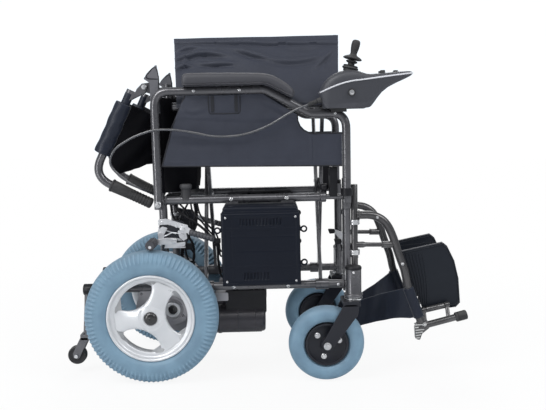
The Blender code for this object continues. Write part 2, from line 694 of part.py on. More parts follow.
def panel_piece(name, on, hand):
    """The skirt panel inside the arm's loop, with its pocket flap and its stepped front."""
    top = ARM_TOP_Z - TUBE_R - 0.4
    front = ARM_FRONT_X - TUBE_R - 0.4
    outline = [(38, PANEL_LOW_Z), (front, PANEL_LOW_Z - 6), (front, 641), (424, 641), (391, 677),
               (391, 694), (302, top), (104, top), (69, 666)]
    adds = [slab(outline, ARM_SIDE - PANEL_T / 2, ARM_SIDE + PANEL_T / 2),
            slab(rounded([(164, 697), (245, 697), (245, top - 1), (164, top - 1)], 6, 1),
                 ARM_SIDE, ARM_SIDE + PANEL_T / 2 + 2.2)]
    node(name, on, "slate_cloth", adds, (), hand)


# Back


def folded(x, z):
    """A point of the upright upper back, folded down about its pin."""
    return turned_about(x, z, BACK_PIN_X, BACK_PIN_Z, -BACK_FOLD)


def upper_cane(name, on, hand):
    """The upper cane with its push-handle bend, its hinge cheeks and the hinge pin."""
    upright = [(CANE_X, CANE_TOP_Z + 1.5), (CANE_X, GRIP_Z), (CANE_X - CANE_BEND_R - GRIP_LONG - 2, GRIP_Z)]
    path = [(p.x, SIDE, p.y) for p in rounded([(*p,) for p in upright], CANE_BEND_R, 3, closed=False)]
    path = [(folded(x, z)[0], y, folded(x, z)[1]) for x, y, z in path]
    behind = CANE_X - TUBE_R - 2
    cheek = rounded([(BACK_PIN_X - 8, BACK_PIN_Z - 8), (BACK_PIN_X + 8, BACK_PIN_Z - 8),
                     (behind, BACK_PIN_Z + 12), (behind, CANE_TOP_Z + 3), (CANE_X + 6, CANE_TOP_Z + 7),
                     (CANE_X + 6, CANE_TOP_Z + 30),
                     (CANE_X - 6, CANE_TOP_Z + 30), (BACK_PIN_X - 8, BACK_PIN_Z + 12)], 5, 1)
    cheek = [folded(p[0], p[1]) for p in cheek]
    adds = [tube(path, TUBE_R)]
    for low in (SIDE - 9, SIDE + 4):
        adds.append(slab(cheek, low, low + 5))
    adds.append(rod((BACK_PIN_X, SIDE, BACK_PIN_Z), (0, 1, 0), 4, -11, 11, 8))
    node(name, on, "gunmetal", adds, (), hand)


def grip_piece(name, on, hand):
    """A ribbed rubber grip with a flange towards the bend."""
    start = GRIP_R - 1.3
    bore = TUBE_R + 1
    profile = [(bore, GRIP_LONG + 3), (bore, 0), (GRIP_R + 3, 0), (GRIP_R + 3, 5), (start, 7)]
    ribs = 6
    for i in range(ribs):
        along = 12 + i * (GRIP_LONG - 18) / ribs
        profile += [(GRIP_R, along), (start, along + 9)]
    profile += [(GRIP_R, GRIP_LONG + 2), (GRIP_R - 4, GRIP_LONG + 8)]
    x, z = folded(CANE_X - CANE_BEND_R - 1, GRIP_Z)
    x_end, z_end = folded(CANE_X - CANE_BEND_R - 101, GRIP_Z)
    node(name, on, "rubber", [lathe(profile, (x, SIDE, z), (x_end - x, 0, z_end - z), 8)], (), hand)


def half_angle():
    """How far each half of the cloth stands out of the crosswise plane while the chair is folded."""
    return math.acos((SIDE - 0.5) / OPEN_SIDE)


def half_sheet(origin, along, out, edges, rows, sag):
    """Half a cloth from its hinge bar to the middle: edges are (distance from the bar, low, high)."""
    lean = half_angle()
    face = Vector((0, -math.cos(lean), 0)) + out * math.sin(lean)
    normal = along.cross(face)
    last = edges[-1][0]
    grid = []
    for d, low, high in edges:
        fade = math.sin(math.pi * min(1, d / last))
        row = []
        for u in steps_of(rows):
            place = origin + along * (low + (high - low) * u) + face * d
            row.append(place + normal * sag(d / last, u) * fade)
        grid.append(row)
    return grid


def lower_back(name, on, hand):
    """Half of the lower back cloth, on its sleeve round the lower cane, cut up clear of the cross brace.

    Its upper corner stands up outside the hinge while the back is folded down."""
    origin = Vector((CANE_X, SIDE, 0))
    up = Vector((0, 0, 1))
    low = HIGH_RAIL_Z + 20
    high = BACK_PIN_Z - 26
    above_brace = low + 126
    reach = OPEN_SIDE - 3.5
    edges = [(CLOTH_START, low, high), (45, low, high - 4), (80, low + 2, high - 8),
             (108, low + 4, high - 10), (115, above_brace, high - 11), (160, above_brace, high - 14),
             (reach, above_brace, high - 16)]
    grid = half_sheet(origin, up, Vector((1, 0, 0)), edges, 6, lambda t, u: 4 * math.sin(9 * t + 3 * u))
    corner = [(CANE_X - 12, high - 44), (CANE_X + 12, high - 44), (CANE_X + 12, CANE_TOP_Z + 2),
              (CANE_X + 8, CANE_TOP_Z + 36), (CANE_X + 5, CANE_TOP_Z + 36),
              (BACK_PIN_X - 2, CANE_TOP_Z + 1), (CANE_X - 12, CANE_TOP_Z - 10)]
    face = SIDE + TUBE_R + SLEEVE_T
    adds = [ring(origin, up, TUBE_R + GAP, TUBE_R + GAP + SLEEVE_T, low, high), cloth(grid, CLOTH_T),
            slab(corner, face - 0.7, face + 1.8)]
    node(name, on, "black_cloth", adds, (), hand)


def upper_back(name, on, hand):
    """Half of the upper back cloth, on its sleeve round the folded upper cane."""
    x0, z0 = folded(CANE_X, CANE_TOP_Z)
    x1, z1 = folded(CANE_X, CANE_TOP_Z + 100)
    along = Vector((x1 - x0, 0, z1 - z0)).normalized()
    out = Vector((-along.z, 0, along.x))
    origin = Vector((x0, SIDE, z0))
    low = 36
    reach = OPEN_SIDE - 3.5
    edges = [(CLOTH_START, low, 183), (35, low, 209), (62, low + 2, 220), (90, low + 4, 200),
             (116, low + 5, 172), (160, low + 8, 150), (reach, low + 10, 138)]
    grid = half_sheet(origin, along, out, edges, 6, lambda t, u: 5 * math.sin(7 * t + 4 * u + 1))
    adds = [ring(origin, along, TUBE_R + GAP, TUBE_R + GAP + SLEEVE_T, low, 183), cloth(grid, CLOTH_T)]
    node(name, on, "black_cloth", adds, (), hand)


# Seat


def seat_wrap():
    """The cloth's middle distance from the rail it is wrapped round, in steps of 20 degrees."""
    return (TUBE_R + CLOTH_T / 2 + GAP) / math.cos(math.radians(10))


def seat_lean():
    """The seat halves' angle from level while folded, so that they meet when folded and when open."""
    wrap = seat_wrap()
    return math.acos(SIDE / math.hypot(OPEN_SIDE, wrap)) - math.atan(wrap / OPEN_SIDE)


def sling_piece(name, on, hand):
    """Half of the seat cloth: round the rail's outer side, then up to the middle with its loose folds."""
    origin = Vector((0, SIDE, seat_rail_z()))
    lean = seat_lean()
    wrap = seat_wrap()
    face = Vector((0, -math.cos(lean), math.sin(lean)))
    normal = Vector((0, math.sin(lean), math.cos(lean)))
    reach = OPEN_SIDE - 3.5
    grid = []
    for turn in (40, 20):
        a = math.radians(turn)
        place = origin + (normal * math.cos(a) - face * math.sin(a)) * wrap
        along = steps_of(10, SEAT_RAIL_REAR_X + 14, SEAT_RAIL_FRONT_X - 10)
        grid.append([place + Vector((x, 0, 0)) for x in along])
    for t in steps_of(7):
        rear = SEAT_RAIL_REAR_X + 14 - 12 * t
        front = SEAT_RAIL_FRONT_X - 10 + 12 * t
        row = []
        for u in steps_of(10):
            fold = 3.0 * math.sin(10 * u + 5 * t) + 2.0 * math.sin(23 * u - 9 * t)
            place = origin + face * (reach * t) + normal * (wrap + (fold - 4) * math.sin(math.pi * t))
            row.append(place + Vector((rear + (front - rear) * u, 0, 0)))
        grid.append(row)
    node(name, on, "slate_cloth", [cloth(grid, CLOTH_T)], (), hand)


# Cross brace


def brace_lean():
    """The bars' angle from upright while the chair is folded."""
    return math.asin(SIDE / BRACE_ARM)


def seat_rail_z():
    return LOW_RAIL_Z + 2 * BRACE_ARM * math.cos(brace_lean())


def brace_piece(name, on, low_hand, offset):
    """Two crossing bars' halves of one lean, joined by the sleeves below and the seat rail above."""
    lean = brace_lean()
    top_z = seat_rail_z()
    high_side = -SIDE
    along = Vector((0, (high_side - SIDE), top_z - LOW_RAIL_Z)).normalized()
    across = Vector((0, along.z, -along.y))
    adds = []
    cuts = []
    for x in (BRACE_REAR_X, BRACE_FRONT_X):
        near = x + offset - BRACE_T / 2
        low = Vector((0, SIDE, LOW_RAIL_Z))
        high = Vector((0, high_side, top_z))
        half = across * (BRACE_WIDE / 2)
        ring_a = [(near, *(p.yz)) for p in (low - half, low + half, high + half, high - half)]
        ring_b = [(near + BRACE_T - TURN_GAP, y, z) for _, y, z in ring_a]
        adds.append(skin([ring_a, ring_b]))
        adds.append(rod(low, (1, 0, 0), TUBE_R + 4, x - 15, x + 21, 14))
        cuts.append(rod(low, (1, 0, 0), (TUBE_R + GAP) / math.cos(math.pi / 14), x - 30, x + 40, 14))
    adds.append(rod((0, high_side, top_z), (1, 0, 0), TUBE_R, SEAT_RAIL_REAR_X, SEAT_RAIL_FRONT_X))
    if offset:
        for x in (BRACE_REAR_X, BRACE_FRONT_X):
            middle = (0, 0, (LOW_RAIL_Z + top_z) / 2)
            adds.append(rod(middle, (1, 0, 0), 9, x + offset + 1, x + offset + 9, 8))
    node(name, on, "gunmetal", adds, cuts, low_hand)


# Brake


def brake_base(name, on, hand):
    """The stamped bracket clamped round the rear post."""
    outline = rounded([(18, 356), (50, 348), (88, 352), (98, 372), (98, 396), (84, 420), (40, 424),
                       (18, 410)], 6, 1)
    adds = [slab(outline, BRAKE_SIDE + 2, BRAKE_SIDE + 5),
            block(REAR_POST_X - 14, REAR_POST_X + 15, SIDE - 13, BRAKE_SIDE + 3, 368, 404),
            rod((84, BRAKE_SIDE, 398), (0, 1, 0), 4, 3, 13, 8),
            rod((60, BRAKE_SIDE, 366), (0, 1, 0), 4, 3, 13, 8)]
    cuts = [rod((REAR_POST_X, SIDE, 0), (0, 0, 1), (TUBE_R + GAP) / math.cos(math.pi / 12), 360, 412, 12)]
    node(name, on, "silver", adds, cuts, hand)


def brake_lever(name, on, hand):
    """The hand lever: a flat arm on its pivot and a ribbed grip that points forward."""
    near = BRAKE_SIDE + 5 + TURN_GAP
    arm = rounded([(76, 388), (92, 388), (112, 384), (110, 394), (92, 408), (76, 406)], 4, 1)
    grip = Vector((64, 0, -20)).normalized()
    profile = [(5, 0), (7.5, 4)]
    for i in range(3):
        profile += [(8.5, 12 + 17 * i), (7, 24 + 17 * i)]
    profile += [(8.5, 66), (6, 70)]
    adds = [slab(arm, near, near + 4), lathe(profile, (102, near + 10, 391), grip, 8)]
    cuts = [rod((84, BRAKE_SIDE, 398), (0, 1, 0), 4 + TURN_GAP, 3, 20, 8)]
    node(name, on, "black_plastic", adds, cuts, hand)


def brake_shoe(name, on, hand):
    """The shoe arm and its round bar, which reaches over the tyre."""
    near = BRAKE_SIDE + 5 + TURN_GAP
    shoe_x = 6
    shoe_z = WHEEL_R + math.sqrt(WHEEL_R ** 2 - shoe_x ** 2) + SHOE_R + 2.8
    arm = rounded([(66, 358), (68, 374), (52, 376), (shoe_x - 7, shoe_z + 9), (shoe_x - 9, shoe_z - 3),
                   (50, 357)], 4, 1)
    adds = [slab(arm, near, near + 4), rod((shoe_x, 0, shoe_z), (0, 1, 0), SHOE_R, near, near + 62, 12)]
    cuts = [rod((60, BRAKE_SIDE, 366), (0, 1, 0), 4 + TURN_GAP, 3, 20, 8)]
    node(name, on, "silver", adds, cuts, hand)


# Hanger


LEG = [(HANGER_X, 422), (584, 422), (619, 405), (640, 369), (655, 324), (673, 273), (681, 228), (720, 123)]


def plate_hinge():
    """Where the footplate's hinge starts, and its direction, which rises to the front."""
    start = Vector((726, PLATE_HINGE_SIDE, 149))
    end = Vector((801, PLATE_HINGE_SIDE, 165))
    return start, (end - start).normalized(), (end - start).length


def hanger_piece(name, on, hand):
    """The upright, the leg tube, the brace to the latch, the slide tube and the plate's knuckles."""
    start, axis, long = plate_hinge()
    tail = Vector((735, SIDE, 115))
    tip = Vector((815, SIDE, 135))
    slope = (tip - tail).normalized()
    adds = [
        tube([(x, SIDE, z) for x, z in LEG], TUBE_R),
        rod((HANGER_X, SIDE, 0), (0, 0, 1), HANGER_TUBE_R, HANGER_LOW_Z, HANGER_HIGH_Z),
        rod((LATCH_PIN[0], 0, LATCH_PIN[1]), (0, 1, 0), 4, LATCH_SIDE - 7, SIDE, 8),
        lathe([(8, 0), (8, 20), (6, 24), (6, 70), (9, 72), (9, 104)],
              (HANGER_X + 4, SIDE, LATCH_Z + 14), (1, 0, -0.02), 8),
        tube([tail - slope * 24, tip], 9),
        lathe([(11, 0), (13, 4), (13, 30), (11, 32)], tip - slope * 2, slope, 10),
        slab(rounded([(704, 78), (716, 74), (722, 92), (742, 108), (738, 128), (712, 132),
                      (702, 110)], 5, 1), SIDE - 8, SIDE + 8),
    ]
    for along in (0, long - 12):
        a = start + axis * along
        adds.append(rod(a, axis, 9, 0, 12, 10))
        foot = a + axis * 6
        web = [(foot + Vector((dx, 0, 0))) for dx in (-4, 4)]
        base = Vector((foot.x, SIDE, tail.z + (foot.x - tail.x) * slope.z / slope.x))
        ring_a = [web[0] + Vector((0, 0, 5)), web[1] + Vector((0, 0, 5)), web[1] + Vector((0, 0, -6)),
                  web[0] + Vector((0, 0, -6))]
        ring_b = [base + Vector((-4, 0, 5)), base + Vector((4, 0, 5)), base + Vector((4, 0, -5)),
                  base + Vector((-4, 0, -5))]
        adds.append(skin([ring_a, ring_b]))
    adds.append(rod(start, axis, 4, 2, long - 2, 8))
    node(name, on, "black_steel", adds, (), hand)


def latch_piece(name, on, hand):
    """The swing-away release lever, with its black finger end, on a pin under the bush."""
    x, z = LATCH_PIN
    outline = rounded([(486, 356), (491, 341), (505, 343), (x - 16, 318), (x - 9, z - 4),
                       (x + 2, z - 9), (x + 9, z), (x + 8, z + 10), (x - 8, 341), (508, 354)], 4, 1)
    cuts = [rod((x, 0, z), (0, 1, 0), 4 + TURN_GAP, LATCH_SIDE - 20, LATCH_SIDE + 5, 8)]
    node(name, on, "silver", [slab(outline, LATCH_SIDE - 6, LATCH_SIDE)], cuts, hand)


def footplate_piece(name, on, hand):
    """The moulded plate, folded up: a cut-cornered outline with a rim and ribs, on its hinge barrel."""
    start, axis, long = plate_hinge()
    hinge_end = start + axis * (long + 6)
    edge = [(674, 314), (784, 336), (797, 325), (817, 284), (829, 234), (834, 166), (822, 154)]
    outline = [(p.x, p.y) for p in rounded(edge, 9, 2, closed=False)]
    outline += [(hinge_end.x, 152), (hinge_end.x, hinge_end.z), (732, start.z + 1)]
    near = PLATE_HINGE_SIDE - PLATE_DROP - PLATE_T / 2
    adds = [slab(outline, near, near + PLATE_T), rod(start, axis, 8, 13, long - 13, 10)]
    for k in (0.3, 0.7):
        a = start + axis * (long * k)
        adds.append(block(a.x - 6, a.x + 6, near + 2, PLATE_HINGE_SIDE, a.z - 5, a.z + 6))
    cuts = [rod(start, axis, 4 + TURN_GAP, -5, long + 5, 8)]
    for i in range(4):
        z = 194 + 32 * i
        rear_x = 712 - i * 4
        front_x = 800 - i * 3
        cuts.append(slab([(rear_x, z), (front_x, z + 10), (front_x, z + 16), (rear_x, z + 6)],
                         near - 1, near + 1.6))
    node(name, on, "black_plastic", adds, cuts, hand)


def calf_strap(name, on, hand):
    """Half of the calf strap, sewn round the leg tube and looped back to the middle."""
    low = Vector((720, SIDE, 123))
    high = Vector((681, SIDE, 228))
    along = (high - low).normalized()
    out = Vector((-along.z, 0, along.x))
    start = 17
    end = 104
    reach = OPEN_SIDE - 3.5
    edges = [(CLOTH_START + (reach - CLOTH_START) * t, start - 5 * t, end - 12 * t) for t in steps_of(7)]
    grid = half_sheet(low, along, out, edges, 5,
                      lambda t, u: 8 * math.sin(math.pi * t) + 2.5 * math.sin(8 * t + 5 * u))
    adds = [ring(low, along, TUBE_R + GAP, TUBE_R + 4, start, end), cloth(grid, CLOTH_T)]
    node(name, on, "black_cloth", adds, (), hand)


# Joystick


def stick_frame():
    """The stick's foot and its direction."""
    lean = math.radians(STICK_LEAN)
    return Vector((STICK_X, POD_SIDE, STICK_Z)), Vector((math.sin(lean), 0, math.cos(lean)))


def joystick_box(name, on, hand):
    """The control pod: a long nose, a domed back, and the clamp that holds it to the arm's tube."""
    low = ARM_STEP_Z + TUBE_R + GAP
    half_wide = BOX_WIDE / 2
    stations = [(447, 722, 742, 18), (462, 708, 771, 28), (496, low, 794, half_wide - 1),
                (530, low, 797, half_wide), (555, low, 790, half_wide), (573, low + 3, 788, half_wide - 1),
                (625, 742, 790, 29), (666, 776, 791, 20), (682, 785, 790, 10)]
    rings = []
    for x, z0, z1, half in stations:
        trim = max(z0 + 1.5, min(z1 - 1.5, 743 + (x - 445) * 0.198))
        shoulder = (trim + z1 * 2) / 3
        section = [(-0.7, z0), (0.7, z0), (1, trim), (0.86, shoulder), (0.5, z1), (-0.5, z1),
                   (-0.86, shoulder), (-1, trim)]
        rings.append([(x, POD_SIDE + k * half, z) for k, z in section])
    foot, up = stick_frame()
    well = lathe([(15, -14), (15, 30)], foot, up, 12)
    adds = [skin(rings),
            block(456, 508, ARM_SIDE - 7, POD_SIDE + 7, ARM_STEP_Z + TUBE_R + GAP, 724),
            lead_relief(CABLE_ROUTE[0], CABLE_ROUTE[1])]
    cuts = [well] + [button_well(x, out) for x, out in BUTTONS.values()]
    node(name, on, "slate_plastic", adds, cuts, hand)


BUTTON_R = 7                # the well's bore
BUTTONS = {"power_button": (640, 0), "slower_button": (605, -13), "faster_button": (605, 13)}


def button_well(x, out):
    return rod((x, POD_SIDE + out, 0), (0, 0, 1), BUTTON_R, 786, 820, 12)


def button_piece(name, on, x, out, hand):
    """A round key standing a little out of its well."""
    profile = [(BUTTON_R - TURN_GAP, 789), (BUTTON_R - TURN_GAP, 793.5), (5.5, 795)]
    shape = lathe(profile, (x, POD_SIDE + out, 0), (0, 0, 1), 12)
    node(name, on, "rubber", [shape], (), hand)


def gimbal_piece(name, on, hand):
    """The ring under the boot that lets the stick tip both ways."""
    foot, up = stick_frame()
    profile = [(9, -4), (13, -4), (13, 0), (9, 0)]
    node(name, on, "silver", [lathe(profile, foot, up, 12, bore=True)], (), hand)


def stick_piece(name, on, hand):
    """The shaft, its broad umbrella and the turned knob."""
    foot, up = stick_frame()
    profile = [(4, -8), (4, 25), (22, 26), (24, 28), (19, 33), (6, 38), (7, 45), (11, 55),
               (10.5, 70), (6, 77)]
    node(name, on, "rubber", [lathe(profile, foot, up)], (), hand)


def boot_piece(name, on, hand):
    """The bellows between the pod and the umbrella."""
    foot, up = stick_frame()
    profile = [(5.2, 19), (13, 21), (15, 17.5), (14, 15), (19, 12), (20, 9), (18, 7), (14.4, 5),
               (14.4, 2), (13, 2), (13, 6), (12, 16), (5.2, 16.5)]
    node(name, on, "rubber", [lathe(profile, foot, up, bore=True)], (), hand)


CABLE_ROUTE = [(417.5, 162.6, 713.8), (395, 160.5, 706), (363, 155, 690), (324, 152, 668),
               (284, 152, 651), (245, 152, 641.5), (206, 152, 638.6), (167, 152, 641),
               (128, 152, 649.5), (89, 152, 656.5), (58, 152, 659.2),
               (27, 152, 658.9), (3, 152, 653.6), (-28, 151, 642.6), (-56, 150, 627.8), (-77, 149, 612.7),
               (-90, 148, 591.3), (-91, 146, 571.7), (-77, 144, 551.6), (-50, 138, 527), (-26, 125, 510),
               (-10, 110, 500), (1, 98, 493.5), (11, 89, 487), (20, 83, 481.5), (30, 78, 477)]


def lead_relief(end, inward):
    """The ribbed sleeve that the lead comes out of: its mouth meets the lead's end face."""
    mouth = Vector(end)
    back = (mouth - Vector(inward)).normalized()
    profile = [(CABLE_R + 1.6, GAP), (CABLE_R + 1.6, RELIEF_LONG - 13), (CABLE_R + 4, RELIEF_LONG - 10),
               (CABLE_R + 4, RELIEF_LONG)]
    return lathe(profile, mouth, back, 10)


def lead_socket():
    """The socket on the high rail's inner side that the lead plugs into, with its gland."""
    end = Vector(CABLE_ROUTE[-1])
    into = (end - Vector(CABLE_ROUTE[-2])).normalized()
    rear_x = end.x + 10
    return [lathe([(CABLE_R + 2.5, GAP), (CABLE_R + 3.5, 3), (CABLE_R + 3.5, 22)], end, into, 10),
            block(rear_x, rear_x + 36, SIDE - 46, SIDE - TUBE_R + 2, HIGH_RAIL_Z - 13, HIGH_RAIL_Z + 15)]


def cable_piece(name, on, hand):
    """The joystick's lead: back along the arm, out in a loop behind it, and in behind the rear post."""
    points = smooth_route([Vector(p) for p in CABLE_ROUTE], 17)
    curve = bpy.data.curves.new(name, "CURVE")
    curve.dimensions = "3D"
    curve.bevel_depth = CABLE_R * MM
    curve.bevel_resolution = 2
    curve.use_fill_caps = True
    line = curve.splines.new("POLY")
    line.points.add(len(points) - 1)
    place = bodies[on][1]
    for target, p in zip(line.points, points):
        at = (Vector((p.x, p.y * hand, p.z)) - place) * MM
        target.co = (*at, 1)
    curve.materials.append(paint(name, "cable_black"))
    obj = bpy.data.objects.new(name, curve)
    bpy.context.collection.objects.link(obj)
    obj.parent = bodies[on][0]


def smooth_route(points, spacing):
    """Evenly spaced points on a smooth curve through the route."""
    fine = []
    ends = [points[0] * 2 - points[1]] + points + [points[-1] * 2 - points[-2]]
    for i in range(1, len(ends) - 2):
        a, b, c, d = ends[i - 1:i + 3]
        for t in steps_of(13)[:-1]:
            fine.append(0.5 * (2 * b + (c - a) * t + (2 * a - 5 * b + 4 * c - d) * t * t
                               + (3 * b - a - 3 * c + d) * t ** 3))
    fine.append(points[-1])
    total = sum((q - p).length for p, q in zip(fine, fine[1:]))
    count = max(2, round(total / spacing))
    result = [fine[0]]
    walked = 0
    for p, q in zip(fine, fine[1:]):
        step = (q - p).length
        while len(result) < count and walked + step >= total * len(result) / count:
            part = (total * len(result) / count - walked) / step
            result.append(p.lerp(q, part))
        walked += step
    result.append(fine[-1])
    return result


# The bodies, in the order of the joints' tree


def build_bodies():
    top_z = seat_rail_z()
    body("right_side", (0, 0, 0))
    body("brace_a", (BRACE_REAR_X, -SIDE, LOW_RAIL_Z), "right_side")
    body("brace_b", (BRACE_REAR_X, 0, (LOW_RAIL_Z + top_z) / 2), "brace_a")
    body("left_side", (BRACE_REAR_X, SIDE, LOW_RAIL_Z), "brace_b")
    body("left_sling", (0, SIDE, top_z), "brace_a")
    body("right_sling", (0, -SIDE, top_z), "brace_b")
    for word, hand in (("right", -1), ("left", 1)):
        side = word + "_side"
        caster = (STEM_X, hand * CASTER_SIDE, HOUSING_LOW_Z)
        hinge = plate_hinge()[0]
        foot, up = stick_frame()
        body(word + "_wheel", (0, hand * WHEEL_SIDE, WHEEL_R), side)
        body(word + "_swivel", caster, side)
        body(word + "_caster", (STEM_X - TRAIL, hand * CASTER_SIDE, CASTER_AXLE_Z), word + "_swivel")
        body(word + "_tip_wheel", (TIP_WHEEL_X, hand * SIDE, TIP_WHEEL_Z), side)
        body(word + "_arm", (ARM_PIVOT_X, hand * ARM_SIDE, ARM_PIVOT_Z), side)
        body(word + "_cane", (BACK_PIN_X, hand * SIDE, BACK_PIN_Z), side)
        body(word + "_lower_back", (CANE_X, hand * SIDE, CANE_TOP_Z - 160), side)
        x, z = folded(CANE_X, CANE_TOP_Z)
        body(word + "_upper_back", (x, hand * SIDE, z), word + "_cane")
        body(word + "_brake_lever", (84, hand * BRAKE_SIDE, 398), side)
        body(word + "_brake_shoe", (60, hand * BRAKE_SIDE, 366), side)
        body(word + "_hanger", (HANGER_X, hand * SIDE, LATCH_Z), side)
        body(word + "_latch", (LATCH_PIN[0], hand * LATCH_SIDE, LATCH_PIN[1]), word + "_hanger")
        body(word + "_footplate", (hinge.x, hand * hinge.y, hinge.z), word + "_hanger")
        body(word + "_strap", (720, hand * SIDE, 123), word + "_hanger")
    foot, up = stick_frame()
    body("gimbal", (foot.x, -foot.y, foot.z), "right_arm")
    body("stick", (foot.x, -foot.y, foot.z), "gimbal")
    for name, (x, out) in BUTTONS.items():
        body(name + "_body", (x, -POD_SIDE - out, 794), "right_arm")


def build_side(word, hand):
    side = word + "_side"
    frame_piece(word + "_frame", side, hand)
    battery_piece(word + "_battery_box", side, hand)
    motor_piece(word + "_motor", side, hand)
    brake_base(word + "_brake_bracket", side, hand)
    brake_lever(word + "_brake_handle", word + "_brake_lever", hand)
    brake_shoe(word + "_brake_bar", word + "_brake_shoe", hand)
    rear_rim(word + "_rim", word + "_wheel", hand)
    tyre(word + "_tyre", word + "_wheel", hand, (0, WHEEL_SIDE, WHEEL_R), WHEEL_R, RIM_BED_R, TYRE_WIDE,
         WHEEL_STEPS, True)
    caster_fork(word + "_fork", word + "_swivel", hand)
    caster_rim(word + "_caster_rim", word + "_caster", hand)
    tyre(word + "_caster_tyre", word + "_caster", hand, (STEM_X - TRAIL, CASTER_SIDE, CASTER_AXLE_Z),
         CASTER_R, CASTER_RIM_R, CASTER_WIDE, CASTER_STEPS, False)
    tip_wheel(word + "_anti_tip_wheel", word + "_tip_wheel", hand)
    arm_piece(word + "_arm_tube", word + "_arm", hand)
    pad_piece(word + "_arm_pad", word + "_arm", hand)
    panel_piece(word + "_side_panel", word + "_arm", hand)
    upper_cane(word + "_upper_cane", word + "_cane", hand)
    grip_piece(word + "_grip", word + "_cane", hand)
    lower_back(word + "_lower_cloth", word + "_lower_back", hand)
    upper_back(word + "_upper_cloth", word + "_upper_back", hand)
    hanger_piece(word + "_leg_tube", word + "_hanger", hand)
    latch_piece(word + "_latch_lever", word + "_latch", hand)
    footplate_piece(word + "_foot_plate", word + "_footplate", hand)
    calf_strap(word + "_calf_strap", word + "_strap", hand)
    sling_piece(word + "_seat_cloth", word + "_sling", hand)


def build():
    for obj in list(bpy.data.objects):
        bpy.data.objects.remove(obj)
    build_bodies()
    build_side("right", -1)
    build_side("left", 1)
    brace_piece("brace_bars_a", "brace_a", -1, 0)
    brace_piece("brace_bars_b", "brace_b", 1, BRACE_T + 1)
    joystick_box("joystick_pod", "right_arm", -1)
    gimbal_piece("joystick_gimbal", "gimbal", -1)
    stick_piece("joystick_stick", "stick", -1)
    boot_piece("joystick_boot", "right_arm", -1)
    for name, (x, out) in BUTTONS.items():
        button_piece(name, name + "_body", x, out, -1)
    cable_piece("joystick_cable", "right_side", -1)


build()
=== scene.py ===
# Looks of a folding power wheelchair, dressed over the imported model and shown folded.
# Every section makes one piece or group of like pieces, in the order in which the chair is put together.

import math

import bmesh
import bpy
import numpy as np
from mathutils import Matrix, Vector


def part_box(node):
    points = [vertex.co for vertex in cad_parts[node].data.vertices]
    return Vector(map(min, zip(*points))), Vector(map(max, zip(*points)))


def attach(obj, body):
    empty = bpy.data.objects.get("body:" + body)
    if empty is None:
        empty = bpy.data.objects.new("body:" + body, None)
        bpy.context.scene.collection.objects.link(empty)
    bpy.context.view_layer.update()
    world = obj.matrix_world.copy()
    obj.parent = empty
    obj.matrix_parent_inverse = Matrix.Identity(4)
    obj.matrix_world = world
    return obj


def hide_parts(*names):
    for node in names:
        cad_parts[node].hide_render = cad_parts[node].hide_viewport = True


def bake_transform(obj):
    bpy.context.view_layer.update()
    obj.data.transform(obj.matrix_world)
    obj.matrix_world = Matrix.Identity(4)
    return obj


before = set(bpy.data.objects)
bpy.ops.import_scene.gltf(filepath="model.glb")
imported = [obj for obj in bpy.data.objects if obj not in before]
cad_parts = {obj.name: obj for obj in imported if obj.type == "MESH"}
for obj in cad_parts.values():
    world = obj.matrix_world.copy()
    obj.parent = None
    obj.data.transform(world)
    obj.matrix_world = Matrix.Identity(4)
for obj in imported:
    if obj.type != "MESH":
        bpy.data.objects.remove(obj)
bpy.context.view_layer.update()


# The picture
# The photograph is taken from the chair's right, a little above its arms, before a plain pale sweep.
# Wide lamps and a pale room light it softly, so that colours come out about as they are written.

PHOTO_WIDE = 546
PHOTO_FOCAL = 650
EYE = (-0.0023, -1.821, 0.670)
PITCH = math.radians(6.93)
YAW = math.radians(0.529)
ROOM_LIGHT = 1.12

lens = bpy.data.cameras.new("photo_camera")
lens.sensor_width = 36
lens.lens = lens.sensor_width * PHOTO_FOCAL / PHOTO_WIDE
eye = bpy.data.objects.new("photo_camera", lens)
eye.location = EYE
eye.rotation_euler = (math.pi / 2 - PITCH, 0, -YAW)
bpy.context.collection.objects.link(eye)
bpy.context.scene.camera = eye
bpy.context.scene.view_settings.view_transform = "Standard"


def soft_lamp(name, place, aim, size, watts, tall=None):
    """A round lamp, or with tall a strip that only reflections see."""
    lamp = bpy.data.lights.new(name, "AREA")
    lamp.shape = "RECTANGLE" if tall else "DISK"
    lamp.size = size
    lamp.size_y = tall or size
    lamp.energy = watts
    holder = bpy.data.objects.new(name, lamp)
    holder.location = place
    holder.rotation_euler = (Vector(aim) - Vector(place)).to_track_quat("-Z", "Y").to_euler()
    holder.visible_diffuse = not tall
    bpy.context.collection.objects.link(holder)


soft_lamp("lamp_over_left", (-1.7, -1.5, 2.6), (0, 0, 0.5), 1.6, 42)
soft_lamp("strip_left", (-1.5, -1.5, 0.7), (0, 0, 0.5), 0.34, 15, 1.8)
soft_lamp("strip_above", (0.1, -1.3, 2.0), (0, 0, 0.5), 2.6, 15, 0.34)
soft_lamp("lamp_over_right", (1.9, -1.2, 2.1), (0, 0, 0.4), 1.4, 22)
soft_lamp("lamp_behind", (0.3, 2.2, 2.4), (0, 0, 0.5), 1.8, 30)


def feed(target, inputs):
    """Give a shader node its inputs: a socket is wired in, and anything else is set as its value."""
    for name, value in inputs.items():
        if isinstance(value, bpy.types.NodeSocket):
            target.id_data.links.new(value, target.inputs[name])
        else:
            target.inputs[name].default_value = value
    return target


def node(tree, kind, inputs, **settings):
    """A new shader node with its settings and inputs."""
    made = tree.nodes.new("ShaderNode" + kind)
    for name, value in settings.items():
        setattr(made, name, value)
    return feed(made, inputs)


def reckon(tree, operation, *values):
    """The result of a Math node."""
    return node(tree, "Math", dict(enumerate(values)), operation=operation).outputs[0]


def remap(tree, value, low, high, to_low=0.0, to_high=1.0):
    """A value taken from low..high to to_low..to_high."""
    spans = {"Value": value, "From Min": low, "From Max": high, "To Min": to_low, "To Max": to_high}
    return node(tree, "MapRange", spans).outputs["Result"]


